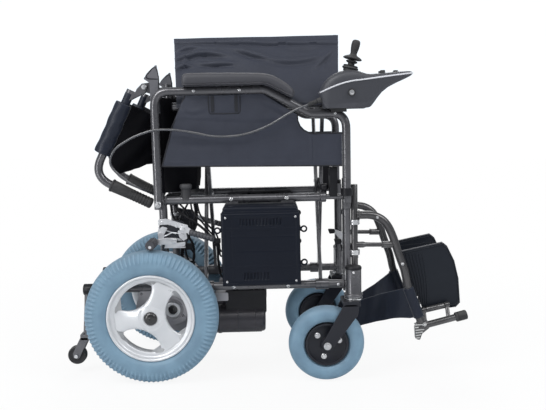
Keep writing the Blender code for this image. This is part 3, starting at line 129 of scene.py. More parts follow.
def light_mix(tree, seen, reflected, scattered):
    """One value for rays from the camera or through a clear material, one for reflections, one for the rest."""
    ray = node(tree, "LightPath", {}).outputs
    straight = reckon(tree, "MAXIMUM", ray["Is Camera Ray"], ray["Is Transmission Ray"])
    glossy = reckon(tree, "MULTIPLY_ADD", ray["Is Glossy Ray"], reflected - scattered, scattered)
    return reckon(tree, "MULTIPLY_ADD", straight, seen - scattered, glossy)


room = bpy.data.worlds.new("pale_room")
room.use_nodes = True
bpy.context.scene.world = room
strength = reckon(room.node_tree, "MULTIPLY", light_mix(room.node_tree, 1.0, 0.3, 0.5), ROOM_LIGHT)
feed(room.node_tree.nodes["Background"], {"Color": (0.9, 0.95, 1, 1), "Strength": strength})

sweep_mesh = bpy.data.meshes.new("floor")
sweep_mesh.from_pydata([(-9, -6, 0), (9, -6, 0), (9, 12, 0), (-9, 12, 0)], [], [(0, 1, 2, 3)])
sweep = bpy.data.objects.new("floor", sweep_mesh)
bpy.context.collection.objects.link(sweep)
pale = bpy.data.materials.new("pale_floor")
pale.use_nodes = True
tree = pale.node_tree
dull = feed(tree.nodes["Principled BSDF"], {"Base Color": (0.86, 0.86, 0.86, 1), "Roughness": 0.9,
                                            "Specular IOR Level": 0.1})
bright = node(tree, "Emission", {"Color": (1, 1, 1, 1)})
place = node(tree, "TexCoord", {}).outputs["Object"]
from_chair = node(tree, "VectorMath", {0: place}, operation="LENGTH").outputs["Value"]
share = reckon(tree, "MULTIPLY", light_mix(tree, 1.0, 0.0, 0.0), remap(tree, from_chair, 0.5, 1.7, 0.9))
mix = node(tree, "MixShader", {"Fac": share, 1: dull.outputs[0], 2: bright.outputs[0]})
feed(tree.nodes["Material Output"], {"Surface": mix.outputs[0]})
sweep_mesh.materials.append(pale)


# The joystick's lead
# A six millimetre lead with a smooth black jacket. It leaves the pod through a ribbed sleeve, sags along
# the arm, is tied to the arm's rear leg, and goes round behind it into a socket on the right side frame.

RAKE = math.radians(1.3)
axle_low, axle_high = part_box("right_tyre")
AXLE_X = (axle_low.x + axle_high.x) / 2
AXLE_Z = (axle_low.z + axle_high.z) / 2
OUT = (0, 1, 0)
MM = 0.001


def stand(points, hand=-1):
    """Chair places in millimetres (forward of the axle, outward, up) turned by the rake into the scene."""
    p = np.asarray(points, float) * MM
    ahead = p[..., 0]
    above = p[..., 2] - AXLE_Z
    return np.stack([AXLE_X + ahead * math.cos(RAKE) - above * math.sin(RAKE), p[..., 1] * hand,
                     AXLE_Z + ahead * math.sin(RAKE) + above * math.cos(RAKE)], axis=-1)


def unit(v):
    return v / np.linalg.norm(v, axis=-1, keepdims=True)


def walked(points):
    """The way walked along a row of points up to each of them."""
    return np.r_[0, np.cumsum(np.linalg.norm(np.diff(points, axis=0), axis=1))]


def turn_steps(count, start=0.0):
    """Angles that divide a full turn into equal steps."""
    return 2 * np.pi * (np.arange(count) + start) / count


def swell(value, power):
    """A superellipse's ordinate: the sign and a power of a sine or cosine."""
    return np.sign(value) * abs(value) ** power


def smooth_route(points, spacing):
    """Evenly spaced points on the curve that runs through the route: a Catmull-Rom spline, resampled."""
    p = np.asarray(points, float)
    p = np.vstack([2 * p[0] - p[1], p, 2 * p[-1] - p[-2]])
    a, b, c, d = (p[i:len(p) - 3 + i, None] for i in range(4))
    t = np.linspace(0, 1, 24, endpoint=False)[None, :, None]
    fine = 0.5 * (2 * b + (c - a) * t + (2 * a - 5 * b + 4 * c - d) * t ** 2
                  + (3 * b - a - 3 * c + d) * t ** 3)
    fine = np.vstack([fine.reshape(-1, p.shape[1]), p[-2]])
    way = walked(fine)
    at = np.linspace(0, way[-1], max(3, round(way[-1] / spacing)) + 1)
    return np.stack([np.interp(at, way, fine[:, k]) for k in range(p.shape[1])], axis=1)


def grid_faces(rows, columns, loop=False, ends=True):
    """Quads of a rows by columns grid that wraps round its columns; the end rows are closed, or joined up."""
    r = np.arange(rows if loop else rows - 1)[:, None]
    c = np.arange(columns)[None, :]
    n = (c + 1) % columns
    s = (r + 1) % rows
    quads = np.stack([r * columns + c, r * columns + n, s * columns + n, s * columns + c], axis=-1)
    faces = quads.reshape(-1, 4).tolist()
    if ends and not loop:
        faces += [list(range(columns))[::-1], list(range((rows - 1) * columns, rows * columns))]
    return faces


def swept(path, radius, sides, across=OUT, flat=1.0, corner=2.0):
    """A bar along a path. Its section is a superellipse: width radius, height radius times flat.

    Each ring lies square to the path's tangent and is turned so that one axis points along across."""
    p = np.asarray(path, float)
    along = unit(np.gradient(p, axis=0))
    side = unit(np.asarray(across, float) - along * (along @ np.asarray(across, float))[:, None])
    up = np.cross(side, along)
    a = turn_steps(sides, 0.5)
    c, s = swell(np.cos(a), 2 / corner), swell(np.sin(a), 2 / corner)
    r = np.broadcast_to(np.asarray(radius, float), len(p))[:, None, None]
    rings = p[:, None] + r * (side[:, None] * c[None, :, None] + flat * up[:, None] * s[None, :, None])
    return rings.reshape(-1, 3), grid_faces(len(p), sides)


def joined(shapes):
    """Several shapes as one list of points and faces."""
    points = []
    faces = []
    count = 0
    for p, f in shapes:
        points.append(np.asarray(p, float))
        faces += [[i + count for i in face] for face in f]
        count += len(p)
    return np.vstack(points), faces


def piece(name, body, material, slot, shapes, hand=-1, bevel=0.0, replaces=(), crease=38):
    """A finished piece at the origin: chair shapes set in the scene, facing outwards, riding on its body."""
    points, faces = joined(shapes)
    mesh = bpy.data.meshes.new(name)
    mesh.from_pydata(stand(points, hand).tolist(), [], faces)
    shell = bmesh.new()
    shell.from_mesh(mesh)
    bmesh.ops.recalc_face_normals(shell, faces=shell.faces)
    shell.to_mesh(mesh)
    shell.free()
    mesh.shade_smooth()
    mesh.set_sharp_from_angle(angle=math.radians(crease))
    mesh.materials.append(material)
    obj = bpy.data.objects.new(name, mesh)
    bpy.context.collection.objects.link(obj)
    if bevel:
        edge = obj.modifiers.new("soft_edges", "BEVEL")
        edge.width = bevel * MM
        edge.segments = 2
        edge.limit_method = "ANGLE"
        edge.angle_limit = math.radians(40)
        edge.harden_normals = True
    if body:
        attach(obj, body)
    if replaces:
        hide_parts(*replaces)
    return obj


def open_group(name, inputs, outputs):
    """An empty node group: a tuple makes a colour input and a number a plain one, and Color is a colour."""
    group = bpy.data.node_groups.new(name, "ShaderNodeTree")
    for socket, value in inputs.items():
        kind = "NodeSocketColor" if isinstance(value, tuple) else "NodeSocketFloat"
        group.interface.new_socket(name=socket, in_out="INPUT", socket_type=kind).default_value = value
    for socket in outputs:
        kind = "NodeSocketColor" if socket == "Color" else "NodeSocketFloat"
        group.interface.new_socket(name=socket, in_out="OUTPUT", socket_type=kind)
    return group, group.nodes.new("NodeGroupInput").outputs, group.nodes.new("NodeGroupOutput")


def mixed(tree, kind, share, a, b):
    """Two colours mixed, or multiplied, by a share."""
    return node(tree, "Mix", {"Factor": share, "A": a, "B": b}, data_type="RGBA",
                blend_type=kind).outputs["Result"]


def surface_group():
    """Colour clouds, fine grain and wear on edges, shared by every finish of the chair.

    Colour = base, darkened by slow noise, then mixed to the wear colour where the edge mask is high, and to
    a pale colour on what faces up: dust on most finishes, and a painted highlight along the top where the share
    is large, as on the lead. The edge mask is the mesh's own pointiness times slow noise. Height is fine noise."""
    group, given, out = open_group(
        "chair_surface", {"Base": (0.1, 0.1, 0.1, 1), "Wear": (0.3, 0.3, 0.3, 1), "Clouds": 0.25,
                          "Grain": 900.0, "Edge": 0.5, "Dust and highlight": 0.1,
                          "Roughness": 0.5}, ("Color", "Roughness", "Height"))
    place = node(group, "TexCoord", {}).outputs["Object"]
    slow = node(group, "TexNoise", {"Vector": place, "Scale": 22, "Detail": 5}).outputs["Fac"]
    fine = node(group, "TexNoise", {"Vector": place, "Scale": given["Grain"], "Detail": 3}).outputs["Fac"]
    clouds = reckon(group, "MULTIPLY", remap(group, slow, 0.35, 0.7), given["Clouds"])
    shaded = mixed(group, "MULTIPLY", clouds, given["Base"], (0.55, 0.56, 0.6, 1))
    shape = node(group, "NewGeometry", {}).outputs
    ridge = remap(group, shape["Pointiness"], 0.512, 0.56)
    chips = reckon(group, "MULTIPLY", ridge, remap(group, slow, 0.4, 0.62, 0.15))
    worn = mixed(group, "MIX", reckon(group, "MULTIPLY", chips, given["Edge"]), shaded, given["Wear"])
    # Faces that look up take a pale colour: dust on most finishes, and on the lead, whose share is large, a
    # painted highlight along its top.
    upward = remap(group, node(group, "SeparateXYZ", {"Vector": shape["Normal"]}).outputs["Z"], 0.3, 1.0)
    dust_and_highlight_share = reckon(group, "MULTIPLY", upward, remap(group, slow, 0.3, 0.65, 0.2))
    dust_and_highlight_share = reckon(group, "MULTIPLY", dust_and_highlight_share, given["Dust and highlight"])
    rough = reckon(group, "MULTIPLY_ADD", remap(group, slow, 0.3, 0.7, -0.5, 0.5), 0.14, given["Roughness"])
    feed(out, {"Color": mixed(group, "MIX", dust_and_highlight_share, worn, (0.42, 0.4, 0.37, 1)), "Roughness": rough,
               "Height": fine})
    return group


surface = surface_group()


def finish(name, base, roughness, bump, edge, metallic=0.0, wear=None, clouds=0.25, grain=900.0, dust_and_highlight=0.06,
           coat=0.0, sheen=0.0, depth=0.0003, shine=0.5):
    """A material whose colour, roughness and grain come from the shared surface group."""
    material = bpy.data.materials.new(name)
    material.use_nodes = True
    t = material.node_tree
    worn = wear or tuple(min(1, c * 1.9 + 0.05) for c in base)
    look = node(t, "Group", {"Base": (*base, 1), "Wear": (*worn, 1), "Clouds": clouds, "Grain": grain,
                             "Edge": edge, "Dust and highlight": dust_and_highlight, "Roughness": roughness}, node_tree=surface).outputs
    relief = node(t, "Bump", {"Strength": bump, "Distance": depth, "Height": look["Height"]}).outputs["Normal"]
    feed(t.nodes["Principled BSDF"], {"Metallic": metallic, "Coat Weight": coat, "Coat Roughness": 0.18,
                                      "Specular IOR Level": shine, "Sheen Weight": sheen,
                                      "Sheen Roughness": 0.4, "Base Color": look["Color"],
                                      "Roughness": look["Roughness"], "Normal": relief})
    return material


LEAD_R = 3
LEAD_ROUTE = [(417.5, 162.6, 713.8), (395, 160.5, 706), (363, 155, 690), (324, 152, 668), (284, 152, 651),
              (245, 152, 641.5), (206, 152, 638.6), (167, 152, 641), (128, 152, 649.5), (89, 152, 656.5),
              (58, 152, 659.2), (27, 152, 658.9), (3, 152, 653.6), (-28, 151, 642.6), (-56, 150, 627.8),
              (-77, 149, 612.7), (-90, 148, 591.3), (-91, 146, 571.7), (-77, 144, 551.6), (-50, 138, 527),
              (-26, 125, 510), (-10, 110, 500), (1, 98, 493.5), (11, 89, 487), (20, 83, 481.5), (30, 78, 477)]
# The jacket's large dust share paints its top pale: a painted highlight along the lead.
jacket = finish("lead_jacket", (0.06, 0.062, 0.072), 0.26, grain=1500, bump=0.04, edge=0.0, dust_and_highlight=0.5, coat=0.9)
lead_line = smooth_route(LEAD_ROUTE, 5)
lead = piece("joystick_lead", None, jacket, "cable_black",
             [swept(lead_line, LEAD_R, 16, across=(0.2, 0.9, 0.5))], replaces=("joystick_cable",))
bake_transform(lead)


# Drive tyres
# Solid blue rubber, 350 by 72 mm: a round section with two rows of radial lugs on its shoulders and
# grooves round the crown. The grid wraps both ways, and lugs are lifts along the section's own normal.

SIDES = (("right", -1), ("left", 1))
WHEEL_R = 175
WHEEL_SIDE = 160
WHEEL_HUB = (0, WHEEL_SIDE, WHEEL_R)
TYRE_WIDE = 72
RIM_BED_R = 107.7
LUGS = 88


def both(name, body, material, slot, shapes, solid=None, **more):
    """One piece for each side: the side's name stands before the piece, its body and its CAD node."""
    return [piece(f"{side}_{name}", f"{side}_{body}", material, slot, shapes, hand,
                  replaces=(f"{side}_{solid}",) if solid else (), **more) for side, hand in SIDES]


def ramp(value, low, high):
    """Zero below low, one above high, smooth between."""
    t = np.clip((value - low) / (high - low), 0, 1)
    return t * t * (3 - 2 * t)


def line_at(value, place, wide):
    """One at a place, fading to nothing within about its width on each side."""
    return np.exp(-((value - place) / wide) ** 2)


def tyre_shape(centre, inner, outer, wide, columns, rows, lift):
    """A closed ring of superellipse section; lift(turn, radius, side) raises it along the section's normal."""
    phi = turn_steps(rows)[:, None]
    theta = turn_steps(columns)[None, :]
    r = (inner + outer) / 2 + (outer - inner) / 2 * swell(np.sin(phi), 0.86) + 0 * theta
    o = wide / 2 * swell(np.cos(phi), 0.86) + 0 * theta
    height = lift(theta, r, o)
    r = r + height * np.sin(phi)
    o = o + height * np.cos(phi)
    points = np.stack([centre[0] + r * np.cos(theta), centre[1] + o, centre[2] + r * np.sin(theta)], axis=-1)
    return points.reshape(-1, 3), grid_faces(rows, columns, loop=True)


def lugged(theta, r, o):
    """Bars across both shoulders, half a step apart, grooves beside the crown and a bead line low down."""
    step = np.where(o > 0, 0.0, 0.5)
    lug = ramp(np.cos(LUGS * theta + 2 * np.pi * step), -0.25, 0.35)
    shoulder = ramp(r, 146, 150) * (1 - ramp(r, 169.5, 172))
    groove = line_at(abs(o), 7.5, 1.5) * ramp(r, 165, 168)
    return 2.6 * lug * shoulder - 1.8 * groove + 0.7 * line_at(r, 124, 1.6)


blue_rubber = finish("blue_rubber", (0.2, 0.33, 0.44), 0.62, wear=(0.36, 0.52, 0.66), clouds=0.45, grain=650,
                     bump=0.16, edge=0.5, dust_and_highlight=0.1, sheen=0.12)
tyre = tyre_shape(WHEEL_HUB, RIM_BED_R, WHEEL_R, TYRE_WIDE, LUGS * 8, 60, lugged)
both("drive_tyre", "wheel", blue_rubber, "blue_tyre", [tyre], "tyre")


# Drive wheels
# A cast wheel in silver paint: a stepped rim, three broad spokes that flare into the rim and the hub, and
# a black cap over the axle nut. A spoke is a grid whose half angle follows a curve along the radius.

AHEAD, UP = (1, 0, 0), (0, 0, 1)
SPOKE_MIDDLES = (66, 186, 306)
SPOKE_BACK = 4.2
SPOKE_CURVE = [(20, 66), (32, 64), (37, 57), (41, 45), (47, 33.5), (56, 26), (67, 22), (79, 21), (87.5, 22.5),
               (92.5, 27), (95, 34), (96.5, 42)]
RIM_SECTION = [(115, 26), (114.3, 28.3), (112.2, 29.4), (109.4, 28.7), (107.5, 25.6), (106.4, 20.6),
               (104.6, 17.8), (101, 16.6), (96.2, 15.6), (94.6, 14.6), (94, 12.8), (94, 6), (95.2, 4.4),
               (97.8, 2.5), (98.7, -3), (98.7, -21), (101, -24.5), (108, -28), (112.5, -29), (114.8, -27.6),
               (115, -26), (109.5, -23.4), (107.7, -21.5), (107.7, 21.5), (109.5, 23.4)]
HUB_SECTION = [(10, -59), (10, -19), (24, -14), (29, 3), (36, 5), (38.8, 8), (39.6, 13), (38.8, 18),
               (35.5, 21.6), (30, 24), (22, 25.6), (18.6, 26), (17.6, 25.4), (17.2, 23.5), (8, 23.5)]
CAP_SECTION = [(16.6, 23.6), (16.6, 27.2), (15.4, 29.8), (12.5, 31.6), (8, 32.6), (3, 33), (0.4, 33)]


def square_pair(axis, near=UP):
    """Two directions square to an axis and to each other, the first as near as it can be to near."""
    helper = np.array(near if abs(axis @ near) < 0.9 else AHEAD, float)
    first = unit(helper - axis * (helper @ axis))
    return first, np.cross(axis, first)


def turned(profile, centre, axis, sides=40, bore=False):
    """A turned piece: each (radius, along) of the profile becomes a circle about the axis."""
    profile = np.asarray(profile, float)
    axis = unit(np.asarray(axis, float))
    first, second = square_pair(axis)
    a = turn_steps(sides)
    spoke = np.cos(a)[:, None] * first + np.sin(a)[:, None] * second
    points = np.asarray(centre, float) + profile[:, 1, None, None] * axis + profile[:, 0, None, None] * spoke
    return points.reshape(-1, 3), grid_faces(len(profile), sides, loop=bore)


def spoke_shape(middle):
    """One spoke: rows go out along the radius, columns go round a rounded section of the half angle's width."""
    radius, half = smooth_route(SPOKE_CURVE, 1.6).T
    v = turn_steps(44, 0.5)
    across = swell(np.cos(v), 0.5)[None, :]
    around = swell(np.sin(v), 0.5)[None, :]
    r = radius[:, None]
    top = 15.4 + 8.6 * np.clip((96 - r) / 62, 0, 1) ** 2 + 1.2 * (1 - across ** 2)
    o = (top + SPOKE_BACK) / 2 + (top - SPOKE_BACK) / 2 * around
    theta = np.radians(middle + half[:, None] * across)
    points = np.stack([r * np.cos(theta), WHEEL_SIDE + o, WHEEL_R + r * np.sin(theta)], axis=-1)
    return points.reshape(-1, 3), grid_faces(len(radius), len(v))


def screw_head(centre, radius, tall=0.5, axis=OUT, sides=20):
    """A domed head with a round recess: a profile that rises from the rim and dips at the middle."""
    profile = [(1, -1), (1, 0.15), (0.93, 0.55), (0.72, 0.92), (0.5, 1), (0.44, 0.8), (0.4, 0.2), (0.05, 0.15)]
    return turned(np.array(profile) * (radius, radius * tall), centre, axis, sides)


cast_silver = finish("cast_silver", (0.74, 0.75, 0.77), 0.34, metallic=0.3, wear=(0.86, 0.86, 0.87),
                     clouds=0.16, grain=1500, bump=0.1, edge=0.25, dust_and_highlight=0.08, coat=0.25)
cap_black = finish("cap_black", (0.014, 0.014, 0.016), 0.22, grain=900, bump=0.03, edge=0.1, coat=0.5)
bright_zinc = finish("bright_zinc", (0.66, 0.66, 0.67), 0.26, metallic=0.95, wear=(0.8, 0.8, 0.8), clouds=0.35,
                     grain=1200, bump=0.05, edge=0.2, dust_and_highlight=0.04)
shapes = [turned(RIM_SECTION, WHEEL_HUB, OUT, 120, bore=True), turned(HUB_SECTION, WHEEL_HUB, OUT, 64)]
both("cast_wheel", "wheel", cast_silver, "rim_silver", shapes + [spoke_shape(m) for m in SPOKE_MIDDLES], "rim",
     crease=50)
both("hub_cap", "wheel", cap_black, "black_plastic",
     [turned(CAP_SECTION, WHEEL_HUB, OUT, 48), screw_head((0, WHEEL_SIDE + 33, WHEEL_R), 5, 0.3)])


# Motors and gearboxes
# Each wheel has a black motor tube lying forward of a cast gearbox, whose grey ringed boss shows between the
# spokes, with a brake block over it. The castings stand on the axle plate of the side frame.

MOTOR_SIDE = 75
MOTOR_Z = 138
MOTOR_R = 38
FRAME_SIDE = 105
MOTOR_AXIS = (0, MOTOR_SIDE, MOTOR_Z)
GEAR_BOSS = (48, FRAME_SIDE, WHEEL_R + 3)
GEAR_NOSE_R = 56
COVER_SCREWS = ((-36, 222), (-34, 172), (30, 222), (74, 160))


def rounded(outline, radius, steps=6, closed=True):
    """An outline with its corners turned into arcs: each is a quadratic curve between two cut-back points."""
    corners = [np.asarray(p, float) for p in outline]
    result = []
    for i, corner in enumerate(corners):
        back = corners[i - 1] - corner
        ahead = corners[(i + 1) % len(corners)] - corner
        back_long, ahead_long = np.linalg.norm(back), np.linalg.norm(ahead)
        angle = math.acos(float(np.clip(back @ ahead / (back_long * ahead_long), -1, 1)))
        if angle > math.radians(174) or not closed and i in (0, len(corners) - 1):
            result.append(corner)
            continue
        reach = min(radius / math.tan(angle / 2), 0.48 * back_long, 0.48 * ahead_long)
        start = corner + back / back_long * reach
        end = corner + ahead / ahead_long * reach
        t = np.linspace(0, 1, steps + 1)[:, None]
        result.extend((1 - t) ** 2 * start + 2 * t * (1 - t) * corner + t ** 2 * end)
    return np.array(result)


def plate(outline, near, far, corner=0):
    """An outline of (forward, up) points carried between two distances from the chair's middle."""
    outline = rounded(outline, corner) if corner else np.asarray(outline, float)
    rings = [np.insert(outline, 1, o, axis=1) for o in (near, far)]
    return np.vstack(rings), grid_faces(2, len(outline))


def block(x0, x1, near, far, z0, z1, corner=0):
    return plate([(x0, z0), (x1, z0), (x1, z1), (x0, z1)], near, far, corner)


def rod(centre, radius, start, end, sides=24):
    """A round bar that runs outwards."""
    return turned([(radius, start), (radius, end)], centre, OUT, sides)


motor_black = finish("motor_black", (0.034, 0.032, 0.04), 0.38, metallic=0.3, clouds=0.3, grain=1100, bump=0.08,
                     edge=0.2, dust_and_highlight=0.06, coat=0.15)
gear_grey = finish("gear_grey", (0.42, 0.41, 0.43), 0.4, metallic=0.5, wear=(0.7, 0.7, 0.7), clouds=0.45,
                   grain=700, bump=0.2, edge=0.15, dust_and_highlight=0.1)
moulded_black = finish("moulded_black", (0.009, 0.009, 0.012), 0.42, wear=(0.08, 0.08, 0.085), clouds=0.2,
                       grain=2200, bump=0.14, edge=0.1, dust_and_highlight=0.03, shine=0.25)
motor = [(30, 92), (MOTOR_R - 1, 94), (MOTOR_R, 96), (MOTOR_R, 166), (MOTOR_R + 1.5, 168), (MOTOR_R + 1.5, 175),
         (MOTOR_R, 177), (MOTOR_R, 284), (MOTOR_R - 2, 287), (MOTOR_R - 3, 292), (MOTOR_R - 7, 296), (12, 297),
         (11, 294), (3, 294)]
belts = [turned([(MOTOR_R + 0.6, x), (MOTOR_R + 0.6, x + 2)], MOTOR_AXIS, AHEAD, 64) for x in (222, 270)]
both("motor_tube", "side", motor_black, "black_steel", [turned(motor, MOTOR_AXIS, AHEAD, 64)] + belts, "motor",
     bevel=1.2)
both("brake_cover", "side", moulded_black, "black_plastic",
     [block(189, 300, MOTOR_SIDE - 26, MOTOR_SIDE + 22, MOTOR_Z + 20, 222, 6)], bevel=1.2)
arc = np.radians(np.arange(30, 331, 12))
nose = (0, WHEEL_R) + GEAR_NOSE_R * np.stack([np.cos(arc), np.sin(arc)], axis=1)
nose = nose[(nose[:, 0] < 20) | (nose[:, 1] > WHEEL_R - 20)]
case = np.vstack([nose, [(86, MOTOR_Z + 40), (96, MOTOR_Z + 31), (96, MOTOR_Z - 27), (90, MOTOR_Z - 32)]])
case = case[np.argsort(np.arctan2(case[:, 1] - MOTOR_Z - 20, case[:, 0] - 20))]
cover = [(-48, 196), (-40, 160), (-22, 140), (50, 134), (82, 146), (88, 176), (80, 212), (58, 226), (-8, 236),
         (-42, 232)]
shapes = [plate(case, MOTOR_SIDE - 25, FRAME_SIDE - 12),
          rod((0, 0, WHEEL_R), 34, MOTOR_SIDE - 34, FRAME_SIDE - 4.3, 48),
          turned([(23, 7), (23, 9.6), (25, 10.4), (27, 9.4), (28, 7.4)], GEAR_BOSS, OUT, 44, bore=True),
          plate(cover, FRAME_SIDE + 3.4, FRAME_SIDE + 8, 16),
          block(161, 197, MOTOR_SIDE - 18, MOTOR_SIDE + 24, 194, 217, 4)]
shapes += [screw_head((x, FRAME_SIDE + 8, z), 4.4, 0.8) for x, z in COVER_SCREWS]
both("gearbox", "side", gear_grey, "gunmetal", shapes, bevel=1.2)
ring = [(12.6, 5), (12.6, 12), (14, 13.6), (19, 14), (21, 12.6), (22, 9)]
both("gearbox_ring", "side", cast_silver, "silver", [turned(ring, GEAR_BOSS, OUT, 44, bore=True)])
# A black disc with a stub on the bore's floor: painted shade for the dark inside the hole.
bore = [(0.3, 5), (12.7, 5), (12.7, 8.4), (5, 8.4), (4.4, 9.6), (0.3, 9.8)]
both("gearbox_bore_shade", "side", cap_black, "black_plastic", [turned(bore, GEAR_BOSS, OUT, 32)])


# Casters
# An 8 inch wheel with a smooth blue tyre on a dished black disc held by three bright bolts, in a pressed
# black fork whose stem turns in the side frame's housing.

STEM_X = 530
CASTER_SIDE = 152
CASTER_X = STEM_X - 72.8
CASTER_Z = 89.6
CASTER_R = 100
CASTER_RIM_R = 57
CASTER_AXLE = (CASTER_X, CASTER_SIDE, CASTER_Z)
STEM = (STEM_X, CASTER_SIDE, 0)
DISC_BOLT_R = 34
FORK_HALF = 28.5
FORK_THICK = 5.5
DISC = [(5.6, 24), (12, 24.4), (15.5, 23.5), (17, 20), (18.5, 15.5), (26, 14.2), (46, 15.6), (49.5, 17.4),
        (50.5, 20.2), (53, 21.6), (56.6, 21.4), (57, 19.5), (56, 15)]


def smooth_tread(theta, r, o):
    """A plain tyre with a mould line round its crown, two fine grooves and a bead line."""
    crown = 0.5 * line_at(o, 0, 0.9) * ramp(r, 90, 95)
    groove = -0.9 * line_at(abs(o), 9, 0.9) * ramp(r, 88, 92)
    return crown + groove + 0.5 * line_at(r, 63, 1.1)


satin_black = finish("satin_black", (0.012, 0.013, 0.02), 0.36, clouds=0.25, grain=1000, bump=0.06, edge=0.1,
                     dust_and_highlight=0.04, shine=0.35)
small_tyre = tyre_shape(CASTER_AXLE, CASTER_RIM_R - 1, CASTER_R, 50, 240, 56, smooth_tread)
both("small_tyre", "caster", blue_rubber, "blue_tyre", [small_tyre], "caster_tyre")
disc = turned(DISC + [(r, -o) for r, o in reversed(DISC)], CASTER_AXLE, OUT, 96, bore=True)
both("caster_disc", "caster", satin_black, "black_steel", [disc], "caster_rim")
shapes = []
for turn in np.radians((16, 136, 256)):
    place = (CASTER_X + DISC_BOLT_R * math.cos(turn), CASTER_SIDE, CASTER_Z + DISC_BOLT_R * math.sin(turn))
    shapes += [turned([(7.6, 13), (7.6, 16.4), (7, 16.9), (3, 16.9)], place, OUT, 28),
               turned([(5.4, 16), (5.4, 20), (4.8, 20.8), (0.3, 21)], place, OUT, 6)]
both("disc_bolts", "caster", bright_zinc, "silver", shapes, bevel=0.3)

blade = [(STEM_X - 28, 200), (STEM_X + 12, 200), (STEM_X + 8, 172), (CASTER_X + 17, CASTER_Z - 4),
         (CASTER_X + 6, CASTER_Z - 15), (CASTER_X - 10, CASTER_Z - 12), (CASTER_X - 15, CASTER_Z + 4),
         (CASTER_X - 6, CASTER_Z + 20)]
fork_near, fork_far = CASTER_SIDE - FORK_HALF - FORK_THICK, CASTER_SIDE + FORK_HALF + FORK_THICK
shapes = [block(STEM_X - 31, STEM_X + 15, fork_near, fork_far, 193, 207, 5)]
shapes += [plate(blade, near, near + FORK_THICK, 12) for near in (fork_near, CASTER_SIDE + FORK_HALF)]
both("caster_fork", "swivel", satin_black, "black_steel", shapes, "fork", bevel=1.6)
shapes = [turned([(19, 206), (24, 207), (24, 210.5), (20, 212), (20, 213.6), (9, 213.6)], STEM, UP, 48)]
for way in (-1, 1):
    outer = (CASTER_X, CASTER_SIDE + way * (FORK_HALF + FORK_THICK), CASTER_Z)
    shapes += [turned([(10, -1), (10, 1), (9.4, 1.6), (6, 1.6)], outer, (0, way, 0), 32),
               turned([(7.6, 1), (7.6, 5.4), (6.8, 6.4), (4.4, 6.8), (0.3, 7)], outer, (0, way, 0), 6)]
both("fork_metal", "swivel", bright_zinc, "silver", shapes, bevel=0.4)


# Side frames
# Welded steel tube 22 mm across in a glossy dark grey coat: a rear post that runs on as the lower cane, a
# front post, a high and a low rail. Weld beads lie round the joints and pan screws hold the battery's seats.

TUBE_R = 11
LOW_RAIL_Z = 237
HIGH_RAIL_Z = 473
REAR_POST_X = 32
FRONT_POST_X = 519
CANE_X = 25
SADDLE_Z = HIGH_RAIL_Z + 67
BOX_SEATS_X = (216, 362)
SCREW_X = (214, 360)
ARM_SIDE = 134
ARM_FRONT_Z = 490
ARM_BOLT = (CANE_X, FRAME_SIDE, 466)
TIP_HUB = (-217.5, FRAME_SIDE, 56.5)
LOW_RAIL, HIGH_RAIL = (0, FRAME_SIDE, LOW_RAIL_Z), (0, FRAME_SIDE, HIGH_RAIL_Z)


def bar(route, radius, bend=0.0, sides=28):
    """A bent tube: the route's corners become arcs of ten steps."""
    return swept(rounded(route, bend, 10, closed=False) if bend else route, radius, sides)


def weld(centre, axis, radius=11.5, thick=2.2):
    """A bead of weld round a tube: a small ring whose thickness ripples as the weld was laid."""
    axis = np.asarray(axis, float)
    first, second = square_pair(axis)
    a, b = turn_steps(96)[:, None], turn_steps(8)[None, :]
    size = thick * (1 + 0.16 * np.cos(24 * a))
    r = radius + size * np.cos(b)
    points = (np.asarray(centre, float) + (r * np.cos(a))[..., None] * first
              + (r * np.sin(a))[..., None] * second + (size * np.sin(b) + 0 * a)[..., None] * axis)
    return points.reshape(-1, 3), grid_faces(96, 8, loop=True)


def collar(centre, axis, inner, outer, start, end, edge=0.6, rise=None, sides=40):
    """A bored ring with its outer edges broken by edge across and rise along."""
    rise = rise or edge
    profile = [(inner, start), (outer - edge, start), (outer, start + rise), (outer, end - rise),
               (outer - edge, end), (inner, end)]
    return turned(profile, centre, axis, sides, bore=True)


def hex_bolt(centre, across, washer):
    """A hexagon head with a domed top on a round washer."""
    head = [(0.55, 1 / across), (0.55, 0.45), (0.45, 0.58), (0.3 / across, 0.6)]
    return [turned([(washer, -0.6), (washer, 1.1), (washer - 0.6, 1.6), (0.3, 1.6)], centre, OUT, 32),
            turned(np.array(head) * across, centre, OUT, 6)]


gunmetal = finish("gunmetal_coat", (0.098, 0.096, 0.105), 0.28, metallic=0.5, wear=(0.25, 0.25, 0.26),
                  clouds=0.25, grain=1400, bump=0.06, edge=0.3, dust_and_highlight=0.04, coat=0.6)
black_rubber = finish("black_rubber", (0.018, 0.018, 0.02), 0.68, wear=(0.07, 0.07, 0.07), clouds=0.25,
                      grain=1500, bump=0.12, edge=0.5, dust_and_highlight=0.12)
grey_rubber = finish("grey_rubber", (0.03, 0.03, 0.034), 0.62, clouds=0.3, grain=1300, bump=0.12, edge=0.4)
s = FRAME_SIDE
rear = [(REAR_POST_X, s, 223), (REAR_POST_X, s, 453), (CANE_X, s, 489), (CANE_X, s, 790)]
sleeve_end = [(12, 449), (13.6, 450), (14, 451.5), (14, 462.5), (13.6, 464), (12, 465)]
axle_plate = [(-32, 150), (-20, 138), (40, 138), (90, 190), (90, LOW_RAIL_Z), (-40, LOW_RAIL_Z), (-40, 160)]
